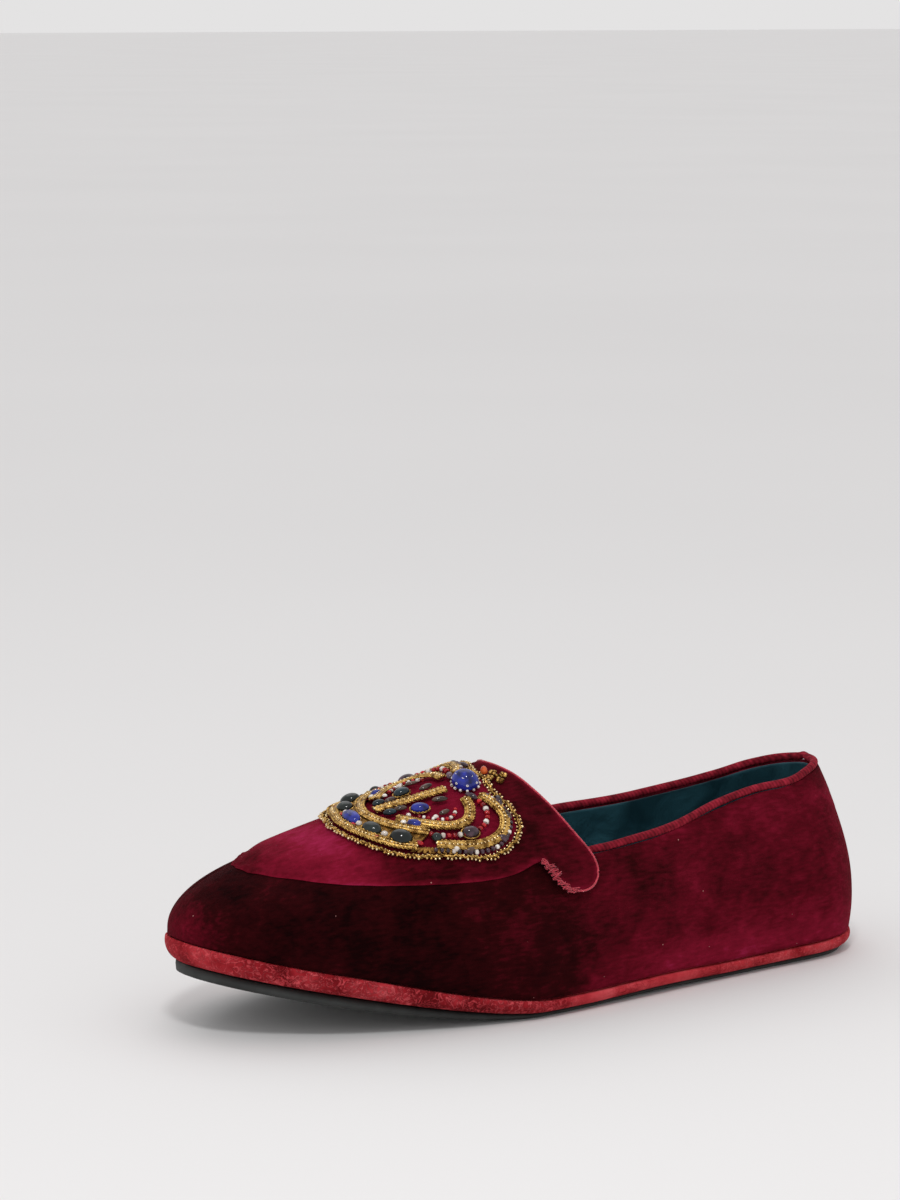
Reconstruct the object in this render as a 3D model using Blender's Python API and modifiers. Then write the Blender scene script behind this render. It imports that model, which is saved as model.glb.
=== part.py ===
"""A velvet slipper loafer for the left foot, in metres.

The toe points to -X, the outer side of the foot to -Y and the shoe stands on z = 0.
A last, the form that the shoe is made on, is worked out first. Every piece takes its shape from it.
"""

import math

import bmesh
import bpy
from mathutils import Matrix, Vector
from mathutils.geometry import delaunay_2d_cdt

# Driving sizes
LENGTH = 0.2804
BALL_WIDTH = 0.0935
INSTEP_HEIGHT = 0.0830
TOE_SPRING = 0.0215
ARCH_RISE = 0.0008
MIDSOLE_THICKNESS = 0.0078
MIDSOLE_ROLL = 0.0007
OUTSOLE_THICKNESS = 0.0038
OUTSOLE_INSET = 0.0030
INSOLE_THICKNESS = 0.0025
INSOLE_CLEARANCE = 0.0012
UPPER_WALL = 0.0022
APRON_THICKNESS = 0.0014
BINDING_RADIUS = 0.0016
CROWN_LENGTH = 0.0545
CROWN_WIDTH = 0.0620
CROWN_PLATE = 0.0012
CROWN_WIRE_RADIUS = 0.0013
CROWN_FOOT_OFFSET, CROWN_HEAD_OFFSET = 0.006, 0.012
ORB_RADIUS = 0.0042
FINIAL_RADIUS = 0.0034
FINIAL_THICKNESS = 0.0018
GAP = 0.0003

LAST_LENGTH = LENGTH - 2 * MIDSOLE_ROLL

# How finely the pieces are divided: turns as far as the throat, past it and to the heel
TURNS_TO_THROAT, TURNS_PAST_THROAT, TURNS_TO_HEEL = 18, 8, 17
THROAT_START_TURN, THROAT_END_TURN = 0.44, 0.51
WALL_STEPS = 11
BINDING_POINTS = 44
CROWN_CELLS = 9
FINIAL_CORNERS = 32

# How much of a turn lies between the tab and the binding's end
BINDING_START_TURN = 0.006

# How far before the middle of the last's length the crown's foot lies, as a share of that length
CROWN_FOOT_SHARE = 0.2835

# What a facet may stand inside the curve that it stands for, and how near two points are one
FACET_SAG = 0.0003
MERGE = GAP / 30

# Small steps that measure an arc and a direction on the last, in degrees and in turns
ARC_STEP_DEGREES = 2.0
EDGE_STEP_DEGREES = 1.0
STEP_TURN = 0.004
SHARP_FROM_DEGREES = 40.0


def table(names, *rows):
    """Named columns. The first is the place along the shoe, and the others are read between its rows."""
    return {name: [row[i] for row in rows] for i, name in enumerate(names.split())}


def read(columns, name, place):
    """The value of a column at a place, on a curve through the rows that never overshoots them."""
    places = next(iter(columns.values()))
    values = columns[name]
    last = len(places) - 1
    if place <= places[0]:
        return values[0]
    if place >= places[last]:
        return values[last]
    steps = [places[i + 1] - places[i] for i in range(last)]
    slopes = [(values[i + 1] - values[i]) / steps[i] for i in range(last)]
    tangents = [slopes[0]]
    for before, after in zip(slopes, slopes[1:]):
        agree = before * after > 0
        tangents.append(2 * before * after / (before + after) if agree else 0.0)
    tangents.append(slopes[-1])
    i = max(k for k in range(last) if places[k] <= place)
    t = (place - places[i]) / steps[i]
    return (
        values[i] * (1 + 2 * t) * (1 - t) ** 2
        + tangents[i] * steps[i] * t * (1 - t) ** 2
        + values[i + 1] * t * t * (3 - 2 * t)
        - tangents[i + 1] * steps[i] * t * t * (1 - t)
    )


# The last seen from below, from the heel (station 0) to the toe (1), in shares of the ball width
OUTLINE = table(
    "station centre half_width",
    (0.00, 0.000, 0.335),
    (0.08, 0.000, 0.340),
    (0.15, -0.004, 0.352),
    (0.28, -0.026, 0.368),
    (0.42, -0.055, 0.398),
    (0.52, -0.048, 0.440),
    (0.62, -0.008, 0.492),
    (0.70, 0.026, 0.498),
    (0.78, 0.048, 0.470),
    (0.86, 0.062, 0.430),
    (0.93, 0.068, 0.392),
    (1.00, 0.066, 0.365),
)
HEEL_ROUND, HEEL_POWER = 0.11, 2.2
TOE_ROUND, TOE_POWER = 0.80, 2.1

# The crest of the last from the side, in shares of the instep height above the floor
CREST = table(
    "station height",
    (0.00, 1.080),
    (0.09, 1.090),
    (0.20, 1.080),
    (0.30, 1.065),
    (0.42, 1.045),
    (0.50, 1.015),
    (0.575, 0.985),
    (0.65, 0.915),
    (0.79, 0.785),
    (0.88, 0.698),
    (1.00, 0.575),
)

# Sole layers from the heel to the toe, in shares of their full thickness at the toe
SOLE = table(
    "station midsole outsole",
    (0.00, 0.66, 0.48),
    (0.30, 0.62, 0.40),
    (0.56, 0.64, 0.42),
    (0.72, 0.84, 0.76),
    (0.85, 1.00, 1.00),
    (1.00, 1.00, 1.00),
)
SPRING_FROM, SPRING_POWER = 0.59, 1.38
ARCH_FROM, ARCH_TO = 0.26, 0.50

# The midsole's edge: how far it stands out from the last, in shares of its roll, at each share of its height
ROLL = table(
    "height offset",
    (0.00, -3.60),
    (0.10, -1.70),
    (0.28, -0.10),
    (0.52, 0.80),
    (0.70, 1.00),
    (0.88, 0.90),
    (1.00, 0.40),
)

# The wall of the last, for each turn from the toe (0) round to the heel (1): where on the crest it
# aims, how square its shoulder is, how far it swells, in shares of the ball width, how low the swell
# sits, and the angle of its top edge, where 90 degrees is the crest
WALL = table(
    "turn crest_station squareness swell lowness edge_angle",
    (0.000, 0.920, 2.30, 0.004, 2, 90.0),
    (0.100, 0.905, 2.28, 0.008, 2, 90.0),
    (0.170, 0.875, 2.22, 0.012, 2, 90.0),
    (0.250, 0.820, 2.12, 0.020, 2, 90.0),
    (0.320, 0.750, 2.05, 0.026, 2, 90.0),
    (0.380, 0.680, 2.02, 0.030, 2, 90.0),
    (0.440, 0.600, 2.00, 0.030, 2, 90.0),
    (0.452, 0.585, 2.00, 0.030, 2, 85.0),
    (0.461, 0.573, 2.00, 0.030, 2, 76.0),
    (0.468, 0.565, 2.00, 0.030, 2, 66.0),
    (0.475, 0.556, 2.00, 0.030, 2, 57.0),
    (0.483, 0.546, 2.00, 0.030, 2, 48.0),
    (0.491, 0.535, 2.00, 0.030, 2, 41.5),
    (0.502, 0.520, 2.00, 0.030, 2, 38.0),
    (0.530, 0.476, 2.00, 0.030, 2, 38.0),
    (0.567, 0.420, 2.00, 0.030, 2, 38.4),
    (0.603, 0.366, 2.00, 0.030, 2, 38.9),
    (0.660, 0.290, 2.00, 0.031, 3, 41.0),
    (0.720, 0.235, 2.00, 0.030, 4, 42.4),
    (0.780, 0.190, 2.00, 0.029, 6, 43.1),
    (0.847, 0.155, 2.00, 0.027, 9, 45.5),
    (0.923, 0.130, 2.00, 0.025, 13, 47.2),
    (1.000, 0.118, 2.00, 0.024, 16, 47.8),
)


# How much higher the outer top edge is than the inner one, each way from the edge angle, in degrees
TILT = table(
    "turn degrees",
    (0.50, 0.0),
    (0.53, -0.9),
    (0.57, -0.9),
    (0.60, -0.3),
    (0.66, 1.7),
    (0.72, 2.2),
    (0.78, 1.5),
    (0.85, 1.3),
    (0.92, 0.8),
    (1.00, 0.0),
)

# How much rounder the inner shoulder is than the outer one, and how far the apron leans to the inner side
# for each degree on the outer side
INNER_SLACK = 0.2
APRON_BALANCE = 0.93

# The edge of the apron from its toe end along the seam, round the tab and up the tongue's edge
APRON_EDGE = table(
    "turn angle",
    (0.050, 90.0),
    (0.108, 84.5),
    (0.135, 76.0),
    (0.160, 70.5),
    (0.185, 64.0),
    (0.215, 57.5),
    (0.255, 49.5),
    (0.303, 43.5),
    (0.345, 40.2),
    (0.390, 37.8),
    (0.430, 37.4),
    (0.450, 39.2),
    (0.458, 39.0),
    (0.462, 35.0),
    (0.469, 31.6),
    (0.478, 29.0),
    (0.488, 28.0),
    (0.498, 28.6),
    (0.505, 31.0),
    (0.507, 34.5),
    (0.503, 39.0),
    (0.496, 44.0),
    (0.489, 50.0),
    (0.483, 57.0),
    (0.477, 65.0),
    (0.472, 74.0),
    (0.467, 83.0),
    (0.465, 90.0),
)

# Half of the crown's outline, from the middle of its foot round to the middle of its head. Along is a share
# of its length from the foot, and across a share of half its width
CROWN_EDGE = table(
    "along across",
    (0.000, 0.00),
    (0.035, 0.26),
    (0.110, 0.50),
    (0.210, 0.70),
    (0.330, 0.82),
    (0.460, 0.88),
    (0.600, 0.94),
    (0.740, 1.00),
    (0.860, 0.96),
    (0.950, 0.86),
    (1.000, 0.70),
    (0.990, 0.48),
    (0.950, 0.26),
    (0.960, 0.00),
)

# The wires of one half of the crown, as along and across
CIRCLET_FRONT = table(
    "along across",
    (0.045, 0.00),
    (0.075, 0.24),
    (0.145, 0.46),
    (0.240, 0.64),
    (0.345, 0.74),
)
CIRCLET_BACK = table(
    "along across",
    (0.200, 0.00),
    (0.225, 0.18),
    (0.285, 0.35),
    (0.370, 0.49),
    (0.455, 0.58),
)
OUTER_ARCH = table(
    "along across",
    (0.460, 0.76),
    (0.620, 0.85),
    (0.760, 0.87),
    (0.880, 0.78),
    (0.935, 0.60),
    (0.915, 0.40),
    (0.870, 0.25),
)
INNER_ARCH = table(
    "along across",
    (0.340, 0.26),
    (0.460, 0.45),
    (0.600, 0.57),
    (0.710, 0.54),
    (0.765, 0.39),
    (0.775, 0.24),
)
UPRIGHT = table("along across", (0.270, 0.00), (0.450, 0.00), (0.600, 0.00), (0.720, 0.00))

# Oval stones set flat on the crown: where they lie, how far they are turned from straight across it, in
# degrees, and half of their width and length in shares of the orb's radius
STONES = table(
    "along across turned half_width half_length",
    (0.122, 0.00, 0.0, 0.62, 1.00),
    (0.172, 0.32, 24.0, 0.60, 0.80),
    (0.290, 0.57, 46.0, 0.60, 0.95),
    (0.500, 0.20, 70.0, 0.50, 0.70),
    (0.690, 0.705, 80.0, 0.52, 0.66),
)
STONE_RISE = 0.85

# Where the orb and the finial stand on the crown's middle line, as shares of its length from the foot
ORB_ALONG, FINIAL_ALONG = 0.85, 1.05

# How deep the hollows between the finial's four petals are, as a share of its radius
PETAL_DEPTH = 0.26

# The finial's dome from its foot up, as shares of its radius and of its thickness
FINIAL_RINGS = table("reach height", (1.00, 0.0), (1.00, 0.5), (0.62, 1.0))

# How far ahead, along the crown, the direction of its length is measured
AHEAD = 0.02


def end_rounding(station):
    """How far the outline has opened from its round ends, from 0 at a tip to 1."""
    if station > TOE_ROUND:
        share, power = (station - TOE_ROUND) / (1 - TOE_ROUND), TOE_POWER
    elif station < HEEL_ROUND:
        share, power = (HEEL_ROUND - station) / HEEL_ROUND, HEEL_POWER
    else:
        return 1.0
    return max(0.0, 1 - share**power) ** (1 / power)


def outline_y(station, side):
    half_width = read(OUTLINE, "half_width", station) * end_rounding(station)
    return BALL_WIDTH * (read(OUTLINE, "centre", station) + side * half_width)


def station_x(station):
    return LAST_LENGTH * (0.5 - station)


SAMPLES = [i / 200 for i in range(201)]
MIDDLE_Y = (max(outline_y(s, 1) for s in SAMPLES) + min(outline_y(s, -1) for s in SAMPLES)) / 2


def spring(station):
    """Height of the sole's underside above the floor: a low arch, and the rise of the toe."""
    arch = min(1.0, max(0.0, (station - ARCH_FROM) / (ARCH_TO - ARCH_FROM)))
    toe = max(0.0, (station - SPRING_FROM) / (1 - SPRING_FROM))
    return ARCH_RISE * math.sin(math.pi * arch) ** 2 + TOE_SPRING * toe**SPRING_POWER


def outsole_top(station):
    return spring(station) + OUTSOLE_THICKNESS * read(SOLE, "outsole", station)


def midsole_top(station):
    return outsole_top(station) + GAP + MIDSOLE_THICKNESS * read(SOLE, "midsole", station)


def feather_height(station):
    """Height of the upper's lower edge, where it meets the midsole."""
    return midsole_top(station) + GAP


def turn_station(turn):
    return 0.5 + 0.5 * math.cos(math.pi * turn)


def feather_point(turn, side):
    station = turn_station(turn)
    y = outline_y(station, side) - MIDDLE_Y
    return Vector((station_x(station), y, feather_height(station)))


def crest_point(station):
    y = BALL_WIDTH * read(OUTLINE, "centre", station) - MIDDLE_Y
    return Vector((station_x(station), y, INSTEP_HEIGHT * read(CREST, "height", station)))


def swell_shape(rise, reach, lowness):
    """A swell over the wall's height, 1 at its top. The more its lowness, the nearer that is to the sole."""
    top = (1 + lowness) ** -0.5 * (lowness / (1 + lowness)) ** (lowness / 2)
    return rise * reach**lowness / top


def last_point(turn, angle, side):
    """A point of the last's surface. The angle rises from 0 at the sole to 90 degrees at the crest."""
    foot = feather_point(turn, side)
    crest = crest_point(read(WALL, "crest_station", turn))
    slack = INNER_SLACK * math.sin(math.pi * turn) if side > 0 else 0.0
    power = 2 / (read(WALL, "squareness", turn) - slack)
    rise = math.sin(math.radians(angle))
    reach = max(0.0, math.cos(math.radians(angle)))
    across = Vector((foot.x - crest.x, foot.y - crest.y, 0))
    swell = BALL_WIDTH * read(WALL, "swell", turn) * swell_shape(rise, reach, read(WALL, "lowness", turn))
    flat = across * reach**power + across.normalized() * swell
    station = 0.5 - (crest.x + flat.x) / LAST_LENGTH
    height = INSTEP_HEIGHT * read(CREST, "height", station)
    return Vector((crest.x + flat.x, crest.y + flat.y, foot.z + rise**power * (height - foot.z)))


def edge_angle(turn, side):
    return read(WALL, "edge_angle", turn) - side * read(TILT, "degrees", turn)


def smooth(points, steps):
    """A curve through points in a plane, with a number of steps between one and the next."""
    curve = []
    last = len(points) - 1
    for i in range(last):
        near = [points[max(0, min(last, i + k))] for k in (-1, 0, 1, 2)]
        for step in range(steps):
            t = step / steps
            weights = (
                -t / 2 + t * t - t**3 / 2,
                1 - 2.5 * t * t + 1.5 * t**3,
                t / 2 + 2 * t * t - 1.5 * t**3,
                -t * t / 2 + t**3 / 2,
            )
            curve.append(tuple(sum(w * p[axis] for w, p in zip(weights, near)) for axis in (0, 1)))
    curve.append(points[-1])
    return curve


def spread(start, end, count):
    """Even places from a start up to, and without, an end."""
    return [start + (end - start) * i / count for i in range(count)]


PLACES = (
    spread(0.0, THROAT_START_TURN, TURNS_TO_THROAT)
    + spread(THROAT_START_TURN, THROAT_END_TURN, TURNS_PAST_THROAT)
    + spread(THROAT_END_TURN, 1.0, TURNS_TO_HEEL)
    + [1.0]
)


def linear(colour):
    """A hex colour as the linear values that a material takes."""
    shares = [int(colour[i : i + 2], 16) / 255 for i in (0, 2, 4)]
    return [(c / 12.92 if c <= 0.04045 else ((c + 0.055) / 1.055) ** 2.4) for c in shares] + [1.0]


def clear_scene():
    for piece in list(bpy.data.objects):
        bpy.data.objects.remove(piece, do_unlink=True)


def finish(name, colour, roughness, metallic=0.0):
    material = bpy.data.materials.new(name)
    material.use_nodes = True
    shader = material.node_tree.nodes["Principled BSDF"]
    shader.inputs["Base Color"].default_value = linear(colour)
    shader.inputs["Roughness"].default_value = roughness
    shader.inputs["Metallic"].default_value = metallic
    return material


def add_piece(name, data, material, collection):
    piece = bpy.data.objects.new(name, data)
    data.materials.append(material)
    collection.objects.link(piece)
    return piece


def mesh_from(form, name):
    """A mesh of the faces in a bmesh, with its doubles merged."""
    bmesh.ops.remove_doubles(form, verts=form.verts, dist=MERGE)
    mesh = bpy.data.meshes.new(name)
    form.to_mesh(mesh)
    form.free()
    mesh.shade_smooth()
    mesh.set_sharp_from_angle(angle=math.radians(SHARP_FROM_DEGREES))
    return mesh


def add_wall(piece, thickness, outward):
    wall = piece.modifiers.new("wall", "SOLIDIFY")
    wall.thickness = thickness
    wall.offset = 1.0 if outward else -1.0
    wall.use_even_offset = not outward
    return wall


def station_at(x):
    return 0.5 - x / LAST_LENGTH


def ring(offset):
    """The last's outline moved out by an offset: the outer side from toe to heel, and the inner side back."""
    outer = [feather_point(turn, -1) for turn in PLACES]
    inner = [feather_point(turn, 1) for turn in PLACES[-2:0:-1]]
    line = outer + inner
    moved = []
    for i, point in enumerate(line):
        along = line[(i + 1) % len(line)] - line[i - 1]
        outward = Vector((along.y, -along.x, 0)).normalized()
        moved.append(point + outward * offset)
    return moved


def sole_layer(name, levels):
    """A flat layer with a shaped edge. Each level is an offset from the last and a height at a station."""
    form = bmesh.new()
    rings = []
    for offset, height in levels:
        line = ring(offset)
        rings.append([form.verts.new((p.x, p.y, height(station_at(p.x)))) for p in line])
    count = len(rings[0])
    half = count // 2
    for low, high in zip(rings, rings[1:]):
        for i in range(count):
            j = (i + 1) % count
            form.faces.new((low[i], low[j], high[j], high[i]))
    for level, up in ((rings[0], False), (rings[-1], True)):
        for i in range(half):
            corners = [level[i], level[i + 1], level[(count - i - 1) % count], level[(count - i) % count]]
            corners = list(dict.fromkeys(corners))
            form.faces.new(corners if up else corners[::-1])
    return mesh_from(form, name)


def outsole_mesh():
    return sole_layer("outsole", [(-OUTSOLE_INSET, spring), (-OUTSOLE_INSET, outsole_top)])


def midsole_mesh():
    levels = []
    for share, offset in zip(ROLL["height"], ROLL["offset"]):
        def height(station, share=share):
            low = outsole_top(station) + GAP
            return low + share * (midsole_top(station) - low)
        levels.append((offset * MIDSOLE_ROLL, height))
    return sole_layer("midsole", levels)


def insole_mesh():
    inset = -UPPER_WALL - INSOLE_CLEARANCE

    def top(station):
        return feather_height(station) + INSOLE_THICKNESS

    return sole_layer("insole", [(inset, feather_height), (inset, top)])


def upper_mesh():
    """The outer skin of the upper, open at the collar and the throat and open underneath."""
    form = bmesh.new()
    around = [(turn, -1) for turn in PLACES] + [(turn, 1) for turn in PLACES[-2:0:-1]]
    columns = []
    for turn, side in around:
        edge = edge_angle(turn, side)
        angles = [edge * step / WALL_STEPS for step in range(WALL_STEPS + 1)]
        columns.append([form.verts.new(last_point(turn, angle, side)) for angle in angles])
    for i, column in enumerate(columns):
        following = columns[(i + 1) % len(columns)]
        for low in range(WALL_STEPS):
            form.faces.new((column[low], following[low], following[low + 1], column[low + 1]))
    return mesh_from(form, "upper")


def on_last(turn, lean):
    """A point of the last by its lean from the crest in degrees, which is positive on the outer side."""
    return last_point(turn, 90 - abs(lean), -1 if lean > 0 else 1)


def fill(outline, inside):
    """Triangles of a plane outline with points inside it."""
    points = [Vector(p) for p in outline + inside]
    edge = list(range(len(outline)))
    corners, _, faces, _, _, _ = delaunay_2d_cdt(points, [], [edge], 1, 1e-6)
    return corners, faces


def inside_of(outline, point, margin):
    """Whether a point lies inside an outline, and no nearer to it than a margin."""
    x, y = point
    inside = False
    for (x0, y0), (x1, y1) in zip(outline, outline[1:] + outline[:1]):
        if (y0 > y) != (y1 > y) and x < x0 + (y - y0) * (x1 - x0) / (y1 - y0):
            inside = not inside
        run = Vector((x1 - x0, y1 - y0))
        share = max(0.0, min(1.0, Vector((x - x0, y - y0)).dot(run) / max(run.length_squared, 1e-12)))
        if Vector((x - x0 - share * run.x, y - y0 - share * run.y)).length < margin:
            return False
    return inside


def lifted(form, height):
    """Moves a surface outwards along its own normals."""
    form.normal_update()
    for corner, normal in [(v, v.normal.copy()) for v in form.verts]:
        corner.co += normal * height


# How long one turn is beside the lean of one degree, to even out the apron's triangles, and how many
# degrees they keep from its edge
TURN_IN_DEGREES = 630.0
EDGE_MARGIN_DEGREES = 3.2


def apron_mesh():
    """Plug, tongue and tabs in one piece over the upper, on the last's own surface."""
    edge = list(zip(APRON_EDGE["turn"], APRON_EDGE["angle"]))
    outer = smooth([(turn, 90 - angle) for turn, angle in edge], 2)
    inner = [(turn, -lean * APRON_BALANCE) for turn, lean in outer[-2:0:-1]]
    flat = [(turn * TURN_IN_DEGREES, lean) for turn, lean in outer + inner]
    leans = [90 * k / WALL_STEPS for k in range(-WALL_STEPS, WALL_STEPS + 1)]
    nodes = [(turn * TURN_IN_DEGREES, lean) for turn in PLACES for lean in leans]
    corners, faces = fill(flat, [p for p in nodes if inside_of(flat, p, EDGE_MARGIN_DEGREES)])
    form = bmesh.new()
    places = [form.verts.new(on_last(x / TURN_IN_DEGREES, lean)) for x, lean in corners]
    for face in faces:
        form.faces.new([places[i] for i in reversed(face)])
    bmesh.ops.remove_doubles(form, verts=form.verts, dist=APRON_THICKNESS)
    lifted(form, GAP + FACET_SAG)
    return mesh_from(form, "apron")


def binding_curve():
    """The middle line of the tube that binds the topline, from one tab round the heel to the other."""
    start = max(APRON_EDGE["turn"]) + BINDING_START_TURN
    outer = [start + (1 - start) * i / BINDING_POINTS for i in range(BINDING_POINTS + 1)]
    places = [(turn, -1) for turn in outer] + [(turn, 1) for turn in outer[-2::-1]]
    line = []
    for turn, side in places:
        edge = edge_angle(turn, side)
        top = last_point(turn, edge, side)
        above = last_point(turn, edge + EDGE_STEP_DEGREES, side)
        below = last_point(turn, edge - EDGE_STEP_DEGREES, side)
        rise = (above - below).normalized()
        ahead = last_point(turn + STEP_TURN / 2, edge, side) - last_point(turn - STEP_TURN / 2, edge, side)
        inward = rise.cross(ahead).normalized() * -side
        line.append(top + inward * UPPER_WALL / 2 + rise * (GAP + BINDING_RADIUS))
    return line


def tube(name, line, radius, resolution):
    curve = bpy.data.curves.new(name, "CURVE")
    curve.dimensions = "3D"
    curve.bevel_depth = radius
    curve.bevel_resolution = resolution
    curve.use_fill_caps = True
    spline = curve.splines.new("POLY")
    spline.points.add(len(line) - 1)
    for point, place in zip(spline.points, line):
        point.co = (*place, 1.0)
    return curve


def turn_at(station):
    """The turn whose line meets the crest at a station."""
    low, high = 0.0, 1.0
    while high - low > 1e-5:
        middle = (low + high) / 2
        if read(WALL, "crest_station", middle) > station:
            low = middle
        else:
            high = middle
    return low


def vamp_point(along, across, height):
    """A point over the vamp, by its way along the crown and out from the crown's middle line."""
    station = 0.5 + CROWN_FOOT_SHARE - along / LAST_LENGTH
    turn = turn_at(station)
    offset = CROWN_FOOT_OFFSET + (CROWN_HEAD_OFFSET - CROWN_FOOT_OFFSET) * along / CROWN_LENGTH
    reach = across + offset
    side = -1 if reach > 0 else 1
    angle, walked = 90.0, 0.0
    place = last_point(turn, angle, side)
    while walked < abs(reach) and angle > 10:
        step = last_point(turn, angle - ARC_STEP_DEGREES, side)
        stride = (step - place).length
        share = min(1.0, (abs(reach) - walked) / stride)
        place = place.lerp(step, share)
        walked += stride
        angle -= ARC_STEP_DEGREES * share
    below = last_point(turn, max(angle - ARC_STEP_DEGREES, 0), side)
    across_way = below - last_point(turn, angle + ARC_STEP_DEGREES, side)
    ahead = last_point(turn + STEP_TURN, angle, side) - last_point(turn - STEP_TURN, angle, side)
    outward = ahead.cross(across_way).normalized() * side
    return place + outward * height, outward


PLATE_FOOT = GAP + FACET_SAG + APRON_THICKNESS + GAP + FACET_SAG
PLATE_TOP = PLATE_FOOT + CROWN_PLATE


def halves(columns, steps):
    """A smooth line through a table of the crown, on both sides of its middle."""
    line = smooth(list(zip(columns["along"], columns["across"])), steps)
    return line, [(along, -across) for along, across in line]


def crown_place(along, across, height):
    return vamp_point(along * CROWN_LENGTH, across * CROWN_WIDTH / 2, height)


def crown_base_mesh():
    outer, inner = halves(CROWN_EDGE, 2)
    flat = [(x * CROWN_LENGTH, y * CROWN_WIDTH / 2) for x, y in outer + inner[-2:0:-1]]
    cell = CROWN_WIDTH / CROWN_CELLS
    half = CROWN_CELLS // 2 + 1
    nodes = [(i * cell, j * cell) for i in range(1, CROWN_CELLS) for j in range(-half, half + 1)]
    corners, faces = fill(flat, [p for p in nodes if inside_of(flat, p, cell / 3)])
    form = bmesh.new()
    places = [form.verts.new(vamp_point(x, y, PLATE_FOOT)[0]) for x, y in corners]
    for face in faces:
        form.faces.new([places[i] for i in reversed(face)])
    return mesh_from(form, "crown_base")


def crown_wire(name, line):
    """A round wire that lies on the crown's plate."""
    height = PLATE_TOP + GAP + CROWN_WIRE_RADIUS
    return tube(name, [crown_place(x, y, height)[0] for x, y in line], CROWN_WIRE_RADIUS, 1)


def frame_on_crown(along, across, height):
    """A place on the crown, with the directions ahead, beside and outward there."""
    place, outward = crown_place(along, across, height)
    ahead = (crown_place(along + AHEAD, across, height)[0] - place).normalized()
    return place, ahead, outward.cross(ahead).normalized(), outward


def stone_mesh(name, along, across, turned, half_width, half_length):
    """A domed oval stone with a flat foot on the crown's plate."""
    place, ahead, beside, outward = frame_on_crown(along, across, PLATE_TOP + GAP)
    spin = math.radians(turned) * (1 if across < 0 else -1)
    long_way = beside * math.cos(spin) + ahead * math.sin(spin)
    form = bmesh.new()
    bmesh.ops.create_uvsphere(form, u_segments=12, v_segments=8, radius=1.0)
    everything = form.verts[:] + form.edges[:] + form.faces[:]
    cut = bmesh.ops.bisect_plane(
        form, geom=everything, plane_co=(0, 0, 0), plane_no=(0, 0, -1), clear_outer=True
    )
    rim = [e for e in cut["geom_cut"] if isinstance(e, bmesh.types.BMEdge)]
    bmesh.ops.edgeloop_fill(form, edges=rim)
    turn = Matrix((long_way.cross(outward), -long_way, outward)).transposed().to_4x4()
    turn.translation = place
    size = Matrix.Diagonal((half_width, half_length, half_width * STONE_RISE, 1))
    bmesh.ops.transform(form, matrix=turn @ size, verts=form.verts)
    bmesh.ops.recalc_face_normals(form, faces=form.faces)
    return mesh_from(form, name)


def ball_mesh(name, along, radius, height):
    place, _ = crown_place(along, 0, height + radius)
    form = bmesh.new()
    bmesh.ops.create_uvsphere(form, u_segments=12, v_segments=8, radius=radius)
    bmesh.ops.translate(form, vec=place, verts=form.verts)
    return mesh_from(form, name)


def finial_mesh(name):
    """A small flower of four petals, domed, with a flat foot on the apron."""
    place, ahead, beside, outward = frame_on_crown(FINIAL_ALONG, 0, PLATE_FOOT)
    form = bmesh.new()
    rings = []
    for share, height in zip(FINIAL_RINGS["reach"], FINIAL_RINGS["height"]):
        line = []
        for i in range(FINIAL_CORNERS):
            angle = 2 * math.pi * i / FINIAL_CORNERS
            reach = share * FINIAL_RADIUS * (1 - PETAL_DEPTH * math.sin(2 * angle) ** 2)
            flat = ahead * math.cos(angle) + beside * math.sin(angle)
            line.append(form.verts.new(place + flat * reach + outward * height * FINIAL_THICKNESS))
        rings.append(line)
    for low, high in zip(rings, rings[1:]):
        for i in range(FINIAL_CORNERS):
            j = (i + 1) % FINIAL_CORNERS
            form.faces.new((low[i], low[j], high[j], high[i]))
    form.faces.new(rings[0][::-1])
    form.faces.new(rings[-1])
    bmesh.ops.recalc_face_normals(form, faces=form.faces)
    return mesh_from(form, name)


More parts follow.
